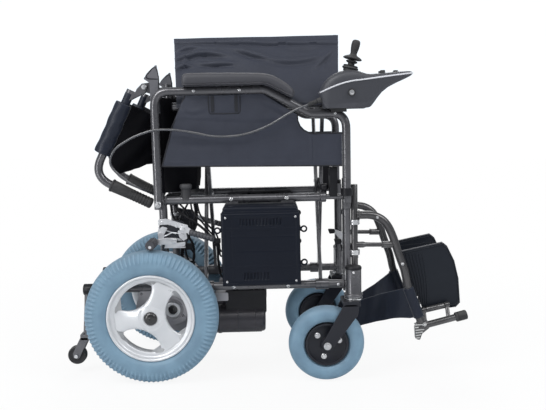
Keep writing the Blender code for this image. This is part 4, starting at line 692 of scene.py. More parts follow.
shapes = [bar(rear, TUBE_R, 60), bar([(-165, s, LOW_RAIL_Z), (FRONT_POST_X, s, LOW_RAIL_Z)], TUBE_R),
          bar([(REAR_POST_X, s, HIGH_RAIL_Z), (449, s, HIGH_RAIL_Z)], TUBE_R),
          turned(sleeve_end, HIGH_RAIL, AHEAD),
          bar([(457, s, HIGH_RAIL_Z), (FRONT_POST_X, s, HIGH_RAIL_Z)], 7, sides=20),
          bar([(FRONT_POST_X, s, 218), (FRONT_POST_X, s, ARM_FRONT_Z - 2)], TUBE_R),
          plate([(-12, 761), (CANE_X, 748), (CANE_X, 784), (-12, 779)], s - 2.5, s + 2.5, 7),
          plate(axle_plate, s - 4, s + 4, 12)]
for x in BOX_SEATS_X:
    shapes += [block(x - 16, x + 16, s - 9, s + 9, *levels)
               for levels in ((LOW_RAIL_Z + 4, 250.7), (459.3, HIGH_RAIL_Z - 4))]
shapes += [weld((x, s, z), AHEAD) for x, z in ((REAR_POST_X + 12, LOW_RAIL_Z), (REAR_POST_X - 13, LOW_RAIL_Z),
                                               (REAR_POST_X + 9, HIGH_RAIL_Z), (FRONT_POST_X - 11, LOW_RAIL_Z))]
shapes += [weld((REAR_POST_X, s, LOW_RAIL_Z + 11), UP),
           weld((FRONT_POST_X - 11, s, HIGH_RAIL_Z), AHEAD, 7.2, 1.6)]
both("frame_tubes", "side", gunmetal, "gunmetal", shapes, "frame", bevel=0.8)

housing = [(20, 214), (25, 214.4), (25.4, 216), (25.4, 220), (25, 221.4), (21.6, 223), (21, 225), (21, 288.6)]
tip_blade = [(-204, 108), (-180, 108), (-208.5, 52.5), (-214.5, 47.5), (-225.5, 51.5), (-226.5, 64.5)]
shapes = [turned(housing, STEM, UP, 56)]
shapes += [block(FRONT_POST_X - 8, STEM_X + 8, s + 3, CASTER_SIDE - 8, low, low + 18) for low in (228, 264)]
shapes += [rod(ARM_BOLT, 13, 5, ARM_SIDE - s - TUBE_R - 1.5, 32),
           rod(ARM_BOLT, 5, 5, ARM_SIDE - s + TUBE_R + 1, 20),
           block(FRONT_POST_X - 9, FRONT_POST_X + 9, s + 4, ARM_SIDE - TUBE_R, ARM_FRONT_Z - 48,
                 ARM_FRONT_Z - 4),
           block(FRONT_POST_X - 9, FRONT_POST_X + 9, ARM_SIDE - TUBE_R - 2, ARM_SIDE + 6, 460, 480),
           bar([(-180, s, LOW_RAIL_Z), (-183, s, 190), (-190, s, 112)], 9, 60, 24)]
shapes += [plate(tip_blade, near, near + 3, 5) for near in (s - 15, s + 12)]
shapes.append(block(-204, -178, s - 15, s + 15, 100, 116))
both("frame_fittings", "side", gunmetal, "gunmetal", shapes, bevel=1.0)

cup = [(3.4, -12), (4.2, -11), (4.2, 7), (3.2, 8), (1.6, 8), (1.6, -6)]
stem_cap = [(21, 286), (21.8, 287), (21.8, 291), (19.6, 294.4), (12, 296), (0.4, 296)]
rail_end = [(14, -190), (15, -188.6), (15, -166), (14.2, -164), (12, -163)]
rail_plug = [(7, 473), (7, 490), (10.4, 492), (12, 495), (12, 503), (10.6, 506), (8, 507.4), (0.4, 508)]
saddle = [(-18, -65), (18, -65), (18, 12), (16, 14), (13.4, 14), (13, -6), (9, -11.4), (4, -13), (-4, -13),
          (-9, -11.4), (-13, -6), (-13.4, 8), (-16, 8), (-18, 6)]
saddle_rings = [[(x, s + o, SADDLE_Z + z) for o, z in saddle] for x in (474, 475.2, 492.8, 494)]
shapes = [turned(np.array(cup) + (TUBE_R, ARM_FRONT_Z), (517, ARM_SIDE, 0), UP, 44),
          turned(stem_cap, STEM, UP, 48), turned(rail_end, LOW_RAIL, AHEAD, 40),
          (np.array(saddle_rings).reshape(-1, 3), grid_faces(len(saddle_rings), len(saddle))),
          turned(rail_plug, (460, s, 0), UP, 12)]
both("frame_plastic", "side", moulded_black, "black_plastic", shapes, bevel=0.6)
stop = [(14, 473), (13.4, 478), (13, 500), (13.6, 502.6), (15.4, 504.6), (16, 507), (16, 512), (14.6, 515),
        (12, 516), (0.4, 516)]
both("rubber_stop", "side", grey_rubber, "rubber", [turned(stop, (94, s, 0), UP, 40)])

shapes = [screw_head((x, s + TUBE_R + 0.4, z), 6, 0.55) for x in SCREW_X for z in (LOW_RAIL_Z, HIGH_RAIL_Z)]
shapes.append(screw_head((495, s + TUBE_R + 0.4, LOW_RAIL_Z), 5))
shapes += hex_bolt((CANE_X, ARM_SIDE + TUBE_R, 466), 9, 8.6)
for z in (322, 404):
    shapes += [collar((540, s, z), UP, 9.6, 14, -7, 7, 1), screw_head((535, s + 14, z), 3.4)]
shapes += [turned([(6, 14), (6, 17.4), (5, 18.4), (0.3, 18.4)], TIP_HUB, (0, way, 0), 6) for way in (-1, 1)]
shapes.append(screw_head((STEM_X - 2, CASTER_SIDE + 21, 281), 3.4))
both("frame_screws", "side", bright_zinc, "silver", shapes, bevel=0.2)

tread = [(4.6, 11), (10, 11), (11.4, 10), (13, 9), (21, 9.6), (22.6, 10), (24.2, 8.4), (25, 5.6), (24.6, 1.6),
         (24, 0)]
tread += [(r, -o) for r, o in reversed(tread[:-1])]
both("tip_wheel_rubber", "tip_wheel", black_rubber, "rubber", [turned(tread, TIP_HUB, OUT, 48, bore=True)],
     "anti_tip_wheel")

lead_end, before_end = np.array(LEAD_ROUTE[-1], float), np.array(LEAD_ROUTE[-2], float)
gland = [(5.5, 0.3), (6.5, 3), (6.5, 6), (5.8, 7), (6.5, 8), (6.5, 22)]
piece("lead_socket", "right_side", moulded_black, "black_plastic",
      [turned(gland, lead_end, lead_end - before_end, 24), block(40, 76, 59, 96, 460, 488, 3)], bevel=1.2)


# The loom
# Leads tied up inside the right side frame, down to its motor and forward to its battery box: six smooth
# ones, a ribbed sleeve, two connectors and a tie.

LOOM = [(3.2, [(50, 90, 462), (56, 86, 425), (84, 84, 385), (106, 82, 345), (104, 80, 300), (108, 78, 250),
               (104, 76, 180)]),
        (2.6, [(72, 86, 463), (96, 84, 430), (100, 82, 385), (84, 82, 345), (92, 80, 300), (112, 78, 250),
               (116, 75, 180)]),
        (2.6, [(96, 90, 462), (78, 88, 428), (70, 86, 390), (88, 86, 350), (108, 84, 320), (94, 80, 270),
               (98, 76, 180)]),
        (3.4, [(58, 92, 462), (80, 90, 432), (120, 88, 405), (150, 88, 376), (170, 86, 345), (172, 84, 300),
               (178, 82, 262), (190, 80, 256)]),
        (2.4, [(120, 88, 463), (128, 88, 430), (150, 90, 400), (168, 90, 380), (176, 86, 350), (178, 84, 318),
               (190, 80, 312)]),
        (2.4, [(104, 94, 462), (110, 94, 436), (132, 94, 412), (146, 92, 392), (166, 90, 366), (180, 86, 330),
               (190, 82, 330)])]
RIBBED = [(114, 80, 463), (116, 78, 430), (106, 78, 396), (80, 78, 352), (72, 76, 300), (80, 74, 250),
          (88, 72, 182)]
LOOM_ACROSS = (0.3, 1, 0.2)
ribbed = smooth_route(RIBBED, 1.4)
ribs = 5.2 + 0.7 * np.sign(np.sin(np.arange(len(ribbed)) * np.pi / 2 + 0.3))
shapes = [swept(smooth_route(route, 4), radius, 12, LOOM_ACROSS) for radius, route in LOOM]
shapes += [swept(ribbed, ribs, 16, LOOM_ACROSS), block(86, 104, 74, 92, 336, 352),
           block(164, 180, 78, 94, 352, 364),
           turned([(9, -2), (12, -2), (12, 2), (9, 2)], (98, 84, 300), UP, bore=True)]
piece("loom", "right_side", moulded_black, "black_plastic", shapes, bevel=0.5)


# Battery boxes
# Two moulded black boxes hang inside the frame, each with a lid that slopes in, two belts round it, two rows
# of slots and lashing tabs. The outer face is a height field: face, rounded border, belts and slots.

BOX = (188, 392, 251, 443)
BOX_IN = 20
BOX_OUT = 170
FACE_STEP = 1.7
LID = [(0.8, -4), (-0.6, -3), (-0.6, 2), (1.6, 3.4), (1.6, 10), (4.5, 14.4), (8, 16)]


def relief(x0, x1, z0, z1, back, step, height):
    """A slab whose outer face stands at height(x, z) from the chair's middle over a grid of even steps."""
    xs = np.linspace(x0, x1, max(2, round((x1 - x0) / step)) + 1)
    zs = np.linspace(z0, z1, max(2, round((z1 - z0) / step)) + 1)
    x, z = np.meshgrid(xs, zs)
    top = np.stack([x, height(x, z), z], axis=-1).reshape(-1, 3)
    low = np.stack([x, np.full_like(x, back), z], axis=-1).reshape(-1, 3)
    at = np.arange(x.size).reshape(x.shape)
    quads = np.stack([at[:-1, :-1], at[:-1, 1:], at[1:, 1:], at[1:, :-1]], axis=-1).reshape(-1, 4)
    edge = np.r_[at[0], at[1:, -1], at[-1, -2::-1], at[-2:0:-1, 0]]
    ahead = np.roll(edge, -1)
    walls = np.stack([ahead, edge, edge + x.size, ahead + x.size], axis=-1)
    return np.vstack([top, low]), np.vstack([quads, quads[:, ::-1] + x.size, walls]).tolist()


def box_face(x, z):
    """Border rounded over 7 mm, a shallow sunk field, three grooves and two rows of upright slots."""
    x0, x1, z0, z1 = BOX
    border = np.minimum(np.minimum(x - x0, x1 - x), np.minimum(z - z0, z1 - z))
    rim = np.clip(border / 7, 0, 1)
    height = BOX_OUT - 5 * (1 - np.sqrt(rim * (2 - rim))) - 1.2 * ramp(border, 9, 12)
    slots = np.zeros_like(x)
    for row, left, right in ((z1 - 34, 236, 350), (z0 + 16, 240, 316)):
        inside = ramp(z, row, row + 1.6) * (1 - ramp(z, row + 18, row + 19.6))
        wave = ramp(np.cos(2 * np.pi * (x - (x0 + x1) / 2) / 8.6), 0.1, 0.6)
        slots = slots + inside * wave * ramp(x, left, left + 3) * (1 - ramp(x, right - 3, right))
    lines = line_at(z, z1 - 62, 1.3) + line_at(z, z0 + 92, 1.3) + line_at(x, x0 + 26, 1.2)
    return height - 2.6 * slots - 0.7 * lines * ramp(border, 11, 14)


battery_navy = finish("battery_navy", (0.0085, 0.011, 0.019), 0.36, wear=(0.1, 0.11, 0.13), clouds=0.15,
                      grain=2200, bump=0.12, edge=0.0, dust_and_highlight=0.02, shine=0.15)
x0, x1, z0, z1 = BOX
lid = []
for inset, rise in LID:
    left, right, near, far = x0 + 3 + inset, x1 - 3 - inset, BOX_IN + inset, BOX_OUT - 3 - inset
    ring = rounded([(left, near), (right, near), (right, far), (left, far)], 6)
    lid.append(np.insert(ring, 2, z1 + rise, axis=1))
shapes = [block(x0, x1, BOX_IN, BOX_OUT - 6, z0, z1, 8), relief(*BOX, BOX_OUT - 12, FACE_STEP, box_face),
          (np.vstack(lid), grid_faces(len(lid), len(lid[0])))]
shapes += [block(x0 - 2, x1 + 2, BOX_IN + 10, BOX_OUT - 0.7, z, z + 7) for z in (z0 + 47, z0 + 146)]
for x, way, z in ((x0 - 10, 1, z1 - 46), (x1 + 10, -1, z1 - 46), (x1 + 10, -1, z0 + 58)):
    shapes.append(collar((x, BOX_OUT - 12, z), OUT, 5, 9, -3, 3, 1, sides=28))
    shapes.append(block(*sorted((x + way * 6, x + way * 12)), BOX_OUT - 15, BOX_OUT - 9, z - 5, z + 5))
shapes += [plate([(x - 16, z0 + 2), (x + 16, z0 + 2), (x + 14, z0 + 9), (x - 14, z0 + 9)], BOX_OUT - 4,
                 BOX_OUT + 1.4, 2) for x in BOX_SEATS_X]
both("battery_case", "side", battery_navy, "navy_plastic", shapes, "battery_box", bevel=0.8, crease=45)
shapes = [screw_head((x, BOX_OUT - 0.6, z), 3.2, 0.6, sides=16) for x in (x0 + 12, x1 - 12)
          for z in (z0 + 12, z1 - 12)]
both("battery_screws", "side", bright_zinc, "silver", shapes)


# Parking brakes
# A stamped and plated bracket clamps round the rear post. A hand lever with a ribbed grip works links and a
# spring in it, which press a knurled rubber roller on the tyre.

BRAKE_SIDE = 116
LEVER_SIDE = BRAKE_SIDE + 5.6
LEVER_PIVOT, LINK_PIVOT = (84, LEVER_SIDE, 398), (60, LEVER_SIDE, 366)
ROLLER_X = 6
ROLLER_R = 11.8
PIVOT_HEAD = [(6.5, 3.6), (6.5, 5.4), (5.6, 6), (0.3, 6.2)]
BRACKET_NUTS = ((30, 417, 5), (50, 412, 3.4), (68, 406, 4.4), (88, 402, 3), (25, 388, 4.4), (32, 366, 3.6),
                (50, 356, 3.4), (78, 358, 4.4), (86, 380, 3.6))


def coil(start, end, radius, wire_r, turns):
    """A coil spring between two places: a swept helix."""
    start, end = np.asarray(start, float), np.asarray(end, float)
    axis = unit(end - start)
    first, second = square_pair(axis, OUT)
    t = np.linspace(0, 1, turns * 16 + 1)[:, None]
    a = 2 * np.pi * turns * t
    return swept(start + (end - start) * t + radius * (np.cos(a) * first + np.sin(a) * second), wire_r, 8, axis)


plated_steel = finish("plated_steel", (0.78, 0.78, 0.8), 0.3, metallic=0.75, wear=(0.9, 0.9, 0.9), clouds=0.5,
                      grain=700, bump=0.14, edge=0.1, dust_and_highlight=0.1)
dark_rubber = finish("dark_rubber", (0.045, 0.046, 0.055), 0.55, clouds=0.3, grain=1300, bump=0.15, edge=0.4,
                     dust_and_highlight=0.1)
o = BRAKE_SIDE
backing = [(24, 356), (50, 350), (88, 352), (97, 372), (97, 396), (84, 419), (40, 424), (22, 408)]
both("brake_backing", "side", satin_black, "black_steel", [plate(backing, o + 2, o + 4.4, 6)], bevel=0.4)
shapes = [plate(outline, o + 3.6, o + far, 3) for far, outline in (
    (7.4, [(20, 424), (40, 427), (98, 408), (97, 398), (72, 402), (46, 411), (20, 410)]),
    (8, [(34, 349), (88, 352), (90, 364), (62, 361), (36, 360)]),
    (6.6, [(18, 396), (18, 372), (26, 360), (36, 362), (33, 382), (44, 402), (30, 406)]),
    (6, [(70, 395), (92, 390), (95, 372), (84, 366), (74, 376)]))]
shapes += [block(REAR_POST_X - 13, REAR_POST_X + 15, FRAME_SIDE + 11, o + 3, 368, 404),
           block(34, 90, o + 3.6, o + 13, 348.4, 350.6),
           swept([(34, o + 9, 380), (58, o + 9, 390), (86, o + 9, 384)], 1.5, 10),
           swept([(38, o + 8, 396), (66, o + 8, 386)], 2.6, 12, flat=0.6), rod((84, o, 398), 4, 3, 12.6),
           rod((60, o, 366), 4, 3, 12.6), coil((38, o + 10, 373), (80, o + 10, 370), 3.6, 0.8, 11)]
shapes += [turned([(size, 4), (size, 8.6), (size - 0.8, 9.2), (0.3, 9.2)], (x, o, z), OUT, 6)
           for x, z, size in BRACKET_NUTS]
shapes += [collar((REAR_POST_X, FRAME_SIDE, z), UP, 11.4, 14, -5, 5, sides=36) for z in (359, 409)]
both("brake_plates", "side", plated_steel, "silver", shapes, "brake_bracket", bevel=0.5)

near = LEVER_SIDE
grip = [(5, 0), (7, 2)]
for i in range(7):
    grip += [(8.5, 4.5 + 9 * i), (8.5, 9.5 + 9 * i), (7.6, 10.2 + 9 * i), (7.6, 12.2 + 9 * i)]
grip += [(8.5, 67), (8.2, 68.6), (6.4, 70), (0.3, 70.4)]
both("brake_grip", "brake_lever", dark_rubber, "black_plastic",
     [turned(grip, (102, near + 10, 391), (64, 0, -20), 36)], "brake_handle")
lever = [(76, 388), (92, 388), (112, 384), (110, 394), (92, 408), (76, 406)]
shapes = [plate(lever, near, near + 4, 4), turned(PIVOT_HEAD, LEVER_PIVOT, OUT, 28),
          plate([(98, 385), (112, 382), (116, 388), (112, 396), (98, 397)], near + 3.4, near + 9, 3)]
both("brake_arm", "brake_lever", plated_steel, "silver", shapes, bevel=0.5)
shoe_z = WHEEL_R + math.sqrt(WHEEL_R ** 2 - ROLLER_X ** 2) + ROLLER_R
link = [(66, 358), (68, 374), (52, 376), (-1, shoe_z + 9), (-3, shoe_z - 3), (50, 357)]
shapes = [plate(link, near, near + 4, 4), turned(PIVOT_HEAD, LINK_PIVOT, OUT, 28),
          rod((ROLLER_X, 0, shoe_z), 4, near + 2, near + 62, 20)]
both("brake_link", "brake_shoe", plated_steel, "silver", shapes, "brake_bar", bevel=0.5)
a = turn_steps(72)
knurl = 8.5 + 0.5 * np.sign(np.cos(12 * a))
rings = [np.stack([ROLLER_X + knurl * k * np.cos(a), np.full(72, near + y),
                   shoe_z + 3.5 + knurl * k * np.sin(a)],
                  axis=1) for y, k in ((4, 1.34), (5, 1.42), (60, 1.42), (61.6, 1.3))]
both("brake_roller", "brake_shoe", dark_rubber, "rubber", [(np.vstack(rings), grid_faces(4, 72))])


# Arms
# One bent tube a side: up from a bolt at the rear post, forward under the pad, a slope down and a second bend
# into the open socket in front. Two bright screws hold the pad from below.

ARM_TOP_Z = 756
ARM_STEP_Z = 692
ARM_FACE = ARM_SIDE + TUBE_R + 0.3
arm = [(CANE_X, ARM_SIDE, 453), (CANE_X, ARM_SIDE, ARM_TOP_Z), (310, ARM_SIDE, ARM_TOP_Z),
       (426, ARM_SIDE, ARM_STEP_Z), (517, ARM_SIDE, ARM_STEP_Z), (517, ARM_SIDE, ARM_FRONT_Z)]
both("arm_bar", "arm", gunmetal, "gunmetal", [bar(arm, TUBE_R, 40, 36)], "arm_tube", bevel=0.8)
both("arm_screws", "arm", bright_zinc, "silver",
     [screw_head((x, ARM_FACE, ARM_TOP_Z), 4.6,
                 0.6) for x in (128, 245)] + [screw_head((488, ARM_FACE, ARM_STEP_Z), 4)])
both("arm_tie", "arm", moulded_black, "black_plastic",
     [turned([(11.2, -2), (12.4, -2), (12.4, 2), (11.2, 2)], (CANE_X, ARM_SIDE, 660), UP, 32, bore=True)])


# Arm pads
# Moulded skin foam on a flat base: crowned across, drawn in at its foot by a lip, its front end bent down
# along the arm's slope. Stations run along the pad and each section is a superellipse with a flat foot.

PAD_SIDE = 145
PAD_SPINE = [(101, 768, 790, 19), (102.5, 767.5, 794, 22), (106, 767.3, 797, 24), (113, 767.3, 798.6, 25),
             (150, 767.3, 799, 25), (210, 767.3, 798, 25), (290, 767.2, 795.6, 25), (307, 767, 794, 25),
             (318, 765, 791.6, 25), (328, 761, 788, 25), (340, 754, 781, 25), (353, 747.5, 773, 25),
             (366, 740, 763.4, 25), (374, 736, 756, 25), (379, 734.4, 751, 22), (382, 734, 746, 18)]
pad_skin = finish("pad_skin", (0.05, 0.05, 0.06), 0.52, wear=(0.11, 0.11, 0.12), clouds=0.25, grain=420,
                  bump=0.3, edge=0.2, dust_and_highlight=0.1, sheen=0.06, depth=0.0004, shine=0.4)
spine = np.array(PAD_SPINE, float)
walk = walked(spine[:, ::2])
at = np.r_[walk[:4], np.arange(walk[3] + 3, walk[-4], 3.0), walk[-4:]]
x, low, top, half = (np.interp(at, walk, spine[:, k])[:, None] for k in range(4))
v = turn_steps(64, 0.5)[None, :]
c, s = np.cos(v), np.sin(v)
middle = low + 0.36 * (top - low)
z = middle + np.where(s > 0, (top - middle) * swell(s, 0.62), (middle - low) * swell(s, 0.4))
lip = 1 - 0.1 * line_at(z, low + 5, 1.2) * (half > 20)
o = PAD_SIDE + half * swell(c, 0.52) * lip
z = z + 1.2 * (1 - np.clip(abs(o - PAD_SIDE) / half, 0, 1) ** 2) * (s > 0)
lean = np.interp(at, walk, np.interp(spine[:, 0], [300, 330, 382], [0, 0.5, 0.62]))[:, None]
points = np.stack([x + (z - middle) * lean * 0.5, o, z], axis=-1).reshape(-1, 3)
for pad in both("pad_foam", "arm", pad_skin, "black_plastic", [(points, grid_faces(len(at), 64))], "arm_pad",
                crease=60):
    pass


# Joystick
# A moulded pod clamped outside the right arm: a domed back with the stick in its bellows, a long flat nose
# with three keys, a bright trim line where its two shells meet and a silver screw in its side.

POD_SIDE = 157
POD_START, POD_FRONT, POD_TIP = 447, 676, 682.6
POD_SCREW = (525, POD_SIDE + 34, 741)
STICK_FOOT = (525, POD_SIDE, 800)
STICK_UP = (math.sin(math.radians(14)), 0, math.cos(math.radians(14)))
KEYS = {"power_button": (640, 0), "slower_button": (605, -13), "faster_button": (605, 13)}
POD_TOP = [(447, 742), (449, 750), (453, 759), (460, 770), (470, 780), (484, 789), (497, 794.5), (512, 797.5),
           (528, 798), (542, 795.5), (555, 790.5), (565, 787.2), (575, 786.4), (600, 788), (640, 790.6),
           (668, 792), (676, 791.6), (680.5, 790), (682.6, 787.5)]
POD_LOW = [(447, 738), (449, 730), (453, 719), (460, 708), (466, 703.8), (480, 703.4), (530, 703.3),
           (568, 703.3), (574, 706), (582, 716), (590, 727), (602, 741), (617, 752.5), (638, 763), (657, 771),
           (668, 776), (676, 780), (680.5, 783.4), (682.6, 786.5)]
POD_HALF = [(447, 12), (449, 17), (453, 21), (460, 26), (470, 30), (484, 33), (500, 34.6), (530, 35), (560, 35),
            (580, 33.8), (610, 30.5), (640, 25.5), (660, 20.5), (672, 15.5), (678, 11), (681, 7), (682.6, 4)]


def pod_values(x):
    """Top, underside, half width and trim height of the pod at a distance along it."""
    top, low, half = (np.interp(x, *np.array(line, float).T) for line in (POD_TOP, POD_LOW, POD_HALF))
    trim = 742 + 29 * np.sin(np.clip((x - 445) / 105, 0, 1) * np.pi / 2) + np.clip(x - 545, 0, None) * 0.118
    return top, low, half, np.clip(trim, low + 0.7, top - 0.7)


def pod_shape():
    """Rings across the pod: straight sides below the trim, a shoulder over it, then a crown to the top."""
    x = np.unique(np.r_[POD_START, 448, 449.5, np.arange(452, POD_FRONT, 3.0), POD_FRONT, 678, 679.5, 681, 682,
                        POD_TIP])[:, None]
    top, low, half, trim = pod_values(x)
    u = np.linspace(0, 1, 29)[None, 1:]
    crown = np.stack([half * (1 - 0.05 * u) * np.clip(1 - u ** 2.6, 0, 1) ** 0.55,
                      trim + (top - trim) * np.sin(u * np.pi / 2) ** 0.9], axis=-1)
    u = np.linspace(0, 1, 19)[None, :]
    sides = np.stack([half * (0.66 + 0.34 * u ** 0.55), low + (trim - low) * u ** 0.7], axis=-1)
    right = np.concatenate([sides, crown], axis=1)
    ring = np.concatenate([right, right[:, -2::-1] * (-1, 1)], axis=1)
    points = np.stack([x + 0 * ring[..., 0], POD_SIDE + ring[..., 0], ring[..., 1]], axis=-1)
    return points.reshape(-1, 3), grid_faces(len(x), ring.shape[1])


def pod_line():
    """A thin bright bar that follows the trim line round the nose from one side to the other."""
    x = np.r_[448.5, 450, 452, np.arange(455, POD_FRONT, 4.0), 678, 680, 681.4]
    half, trim = pod_values(x)[2:]
    one = np.stack([x, POD_SIDE + half + 0.1, trim], axis=1)
    tip = [(POD_TIP + 0.3, POD_SIDE + way, 787) for way in (2.5, -2.5)]
    return swept(np.vstack([one, tip, one[::-1] * (1, -1, 1) + (0, 2 * POD_SIDE, 0)]), 1.9, 12, UP)


slate_plastic = finish("slate_plastic", (0.042, 0.044, 0.055), 0.5, wear=(0.12, 0.12, 0.14), clouds=0.2,
                       grain=1800, bump=0.22, edge=0.2, dust_and_highlight=0.1, sheen=0.05)
bright_trim = finish("bright_trim", (0.76, 0.76, 0.8), 0.4, clouds=0.1, grain=1500, bump=0.03, edge=0.1,
                     dust_and_highlight=0.0)
foot = [(456, 703.4), (508, 703.4), (508, 728), (462, 728), (456, 716)]
piece("pod_shell", "right_arm", slate_plastic, "slate_plastic",
      [pod_shape(), plate(foot, ARM_SIDE - 7, POD_SIDE + 7, 3)], bevel=0.6, replaces=("joystick_pod",),
      crease=50)
piece("pod_trim", "right_arm", bright_trim, "silver", [pod_line()])
screw = [(6.8, -2), (6.8, 1), (6.2, 1.8), (5, 2.1), (3.4, 2), (2.8, 1.1), (0.3, 1)]
piece("pod_screw", "right_arm", bright_zinc, "silver", [turned(screw, POD_SCREW, OUT, 32)], bevel=0.2)
screw_seat = [(6.9, -2), (8.6, -2), (9.2, 0.6), (8.6, 1.4), (7.1, 1.4)]
key_seat = [(6.6, -2), (8.8, -2), (9, 0.4), (8.4, 1), (7, 1)]
shapes = [turned(screw_seat, POD_SCREW, OUT, 32, bore=True)]
for x, out in KEYS.values():
    top = float(pod_values(x)[0]) - 0.04 * abs(out)
    shapes.append(turned(key_seat, (x, POD_SIDE + out, top), UP, 32, bore=True))
ribs = [(4.6, 0.3), (4.6, 4)]
for i in range(5):
    ribs += [(5.6, 4.6 + 4 * i), (5.6, 6.6 + 4 * i), (4.8, 7.2 + 4 * i), (4.8, 8.2 + 4 * i)]
ribs += [(7, 26), (7, 36)]
mouth, after_mouth = np.array(LEAD_ROUTE[0], float), np.array(LEAD_ROUTE[1], float)
shapes += [turned(ribs, mouth, mouth - after_mouth, 28),
           block(452, 480, ARM_SIDE - 9, ARM_SIDE + 9, 703.3, 708),
           block(470, 560, POD_SIDE - 12, POD_SIDE + 12, 701.6, 704),
           block(476, 515, ARM_SIDE + 12.5, POD_SIDE + 9, 694.5, 703.4)]
piece("pod_details", "right_arm", black_rubber, "rubber", shapes, bevel=0.4)
key = [(6.3, 785), (6.3, 793.6), (6, 794.6), (5.2, 795.1), (2.5, 794.9), (0.3, 794.8)]
for name, (x, out) in KEYS.items():
    piece(f"{name}_key", f"{name}_body", black_rubber, "rubber", [turned(key, (x, POD_SIDE + out, 0), UP, 32)],
          replaces=(name,))
piece("gimbal_ring", "gimbal", bright_zinc, "silver",
      [collar(STICK_FOOT, STICK_UP, 9, 13, -4, 0, 0.4, sides=36)], replaces=("joystick_gimbal",))
knob = [(4, -8), (4, 24), (9, 24.6), (21, 25), (23.4, 25.8), (24, 27), (23.2, 28.6), (19, 31.4), (13, 34),
        (9.6, 36), (8.4, 38.4), (8.2, 40), (8.4, 42.4), (9, 45.4), (9.8, 49.4), (10.4, 54), (10.8, 59.5),
        (10.8, 64.4), (10.2, 68.8), (8.8, 71.8), (6, 73.4), (0.3, 73.8)]
low_folds = [(14.4, -5), (14.4, 4), (13.4, 7.4), (15, 8.8), (18.2, 9.2), (19.2, 8.4), (16.6, 7.2), (16.8, 6.6),
             (19.6, 5.6), (20.6, 3.6), (20.6, 1.6), (19, 0.6), (17, -0.6), (16.8, -5)]
high_folds = [(4.4, 7), (8.4, 7), (8.6, 15.4), (12.2, 16.4), (12.4, 17.2), (14.4, 18), (15, 19.4), (12.6, 21.4),
              (9, 21.6), (4.4, 21.4)]
piece("stick_knob", "stick", black_rubber, "rubber", [turned(knob, STICK_FOOT, STICK_UP, 56)],
      replaces=("joystick_stick",))
piece("stick_bellows", "right_arm", black_rubber, "rubber",
      [turned(low_folds, STICK_FOOT, STICK_UP, 48, bore=True)], replaces=("joystick_boot",))
piece("stick_collar", "stick", black_rubber, "rubber",
      [turned(high_folds, STICK_FOOT, STICK_UP, 48, bore=True)])


# Side panels
# Nylon stretched over a stiff sheet inside each arm's loop, bound round its edge, with a curved notch in front
# and a small stitched pocket. The cloth is a grid between its lower and upper edge, puckered along the seams.

PANEL_TOP = 744.6
PANEL_FRONT = 505.6
PANEL_REAR = 38
PANEL_LOW = 565
NOTCH_REAR = 391
NOTCH = [(PANEL_FRONT, 641), (434, 641), (420, 643), (407, 650), (397, 661), (391.5, 675), (NOTCH_REAR, 690),
         (302, PANEL_TOP)]
PANEL_CREASES = [([(60, 640), (110, 626), (180, 622)], 12, 2.0),
                 ([(300, 726), (340, 704), (380, 672)], 10, 2.4), ([(86, 716), (120, 700), (158, 706)], 8, 1.8),
                 ([(427, 556), (428, 600), (427, 640)], 4, 1.6)]
POCKET = (165, 245, 697)
POCKET_TAPES = (170, 231)


def weave_group():
    """Plain weave from a piece's own UV in metres: height is the product of a sine along and one across."""
    group, given, out = open_group("plain_weave", {"Color": (0.1, 0.1, 0.1, 1), "Thread": 0.0009},
                                   ("Color", "Height"))
    cloth = node(group, "UVMap", {}, uv_map="cloth").outputs["UV"]
    split = node(group, "SeparateXYZ", {"Vector": cloth}).outputs
    turns = reckon(group, "DIVIDE", math.pi, given["Thread"])
    waves = [reckon(group, "SINE", reckon(group, "MULTIPLY", split[axis], turns)) for axis in ("X", "Y")]
    level = remap(group, reckon(group, "MULTIPLY", *waves), -1, 1)
    share = reckon(group, "MULTIPLY", level, 0.5)
    feed(out, {"Color": mixed(group, "MULTIPLY", share, given["Color"], (0.72, 0.72, 0.75, 1)),
               "Height": level})
    return group


weave = weave_group()


def woven(name, base, roughness, thread=0.0009, sheen=0.2, dust_and_highlight=0.02, shine=0.3):
    """A cloth: the shared clouds and wear, then a plain weave over them for colour and height."""
    material = finish(name, base, roughness, clouds=0.35, edge=0.15, dust_and_highlight=dust_and_highlight, sheen=sheen, bump=0.35,
                      shine=shine)
    t = material.node_tree
    look, relief = (next(n for n in t.nodes if n.type == kind) for kind in ("GROUP", "BUMP"))
    threads = node(t, "Group", {"Thread": thread, "Color": look.outputs["Color"]}, node_tree=weave).outputs
    feed(t.nodes["Principled BSDF"], {"Base Color": threads["Color"]})
    feed(relief, {"Height": threads["Height"]})
    return material


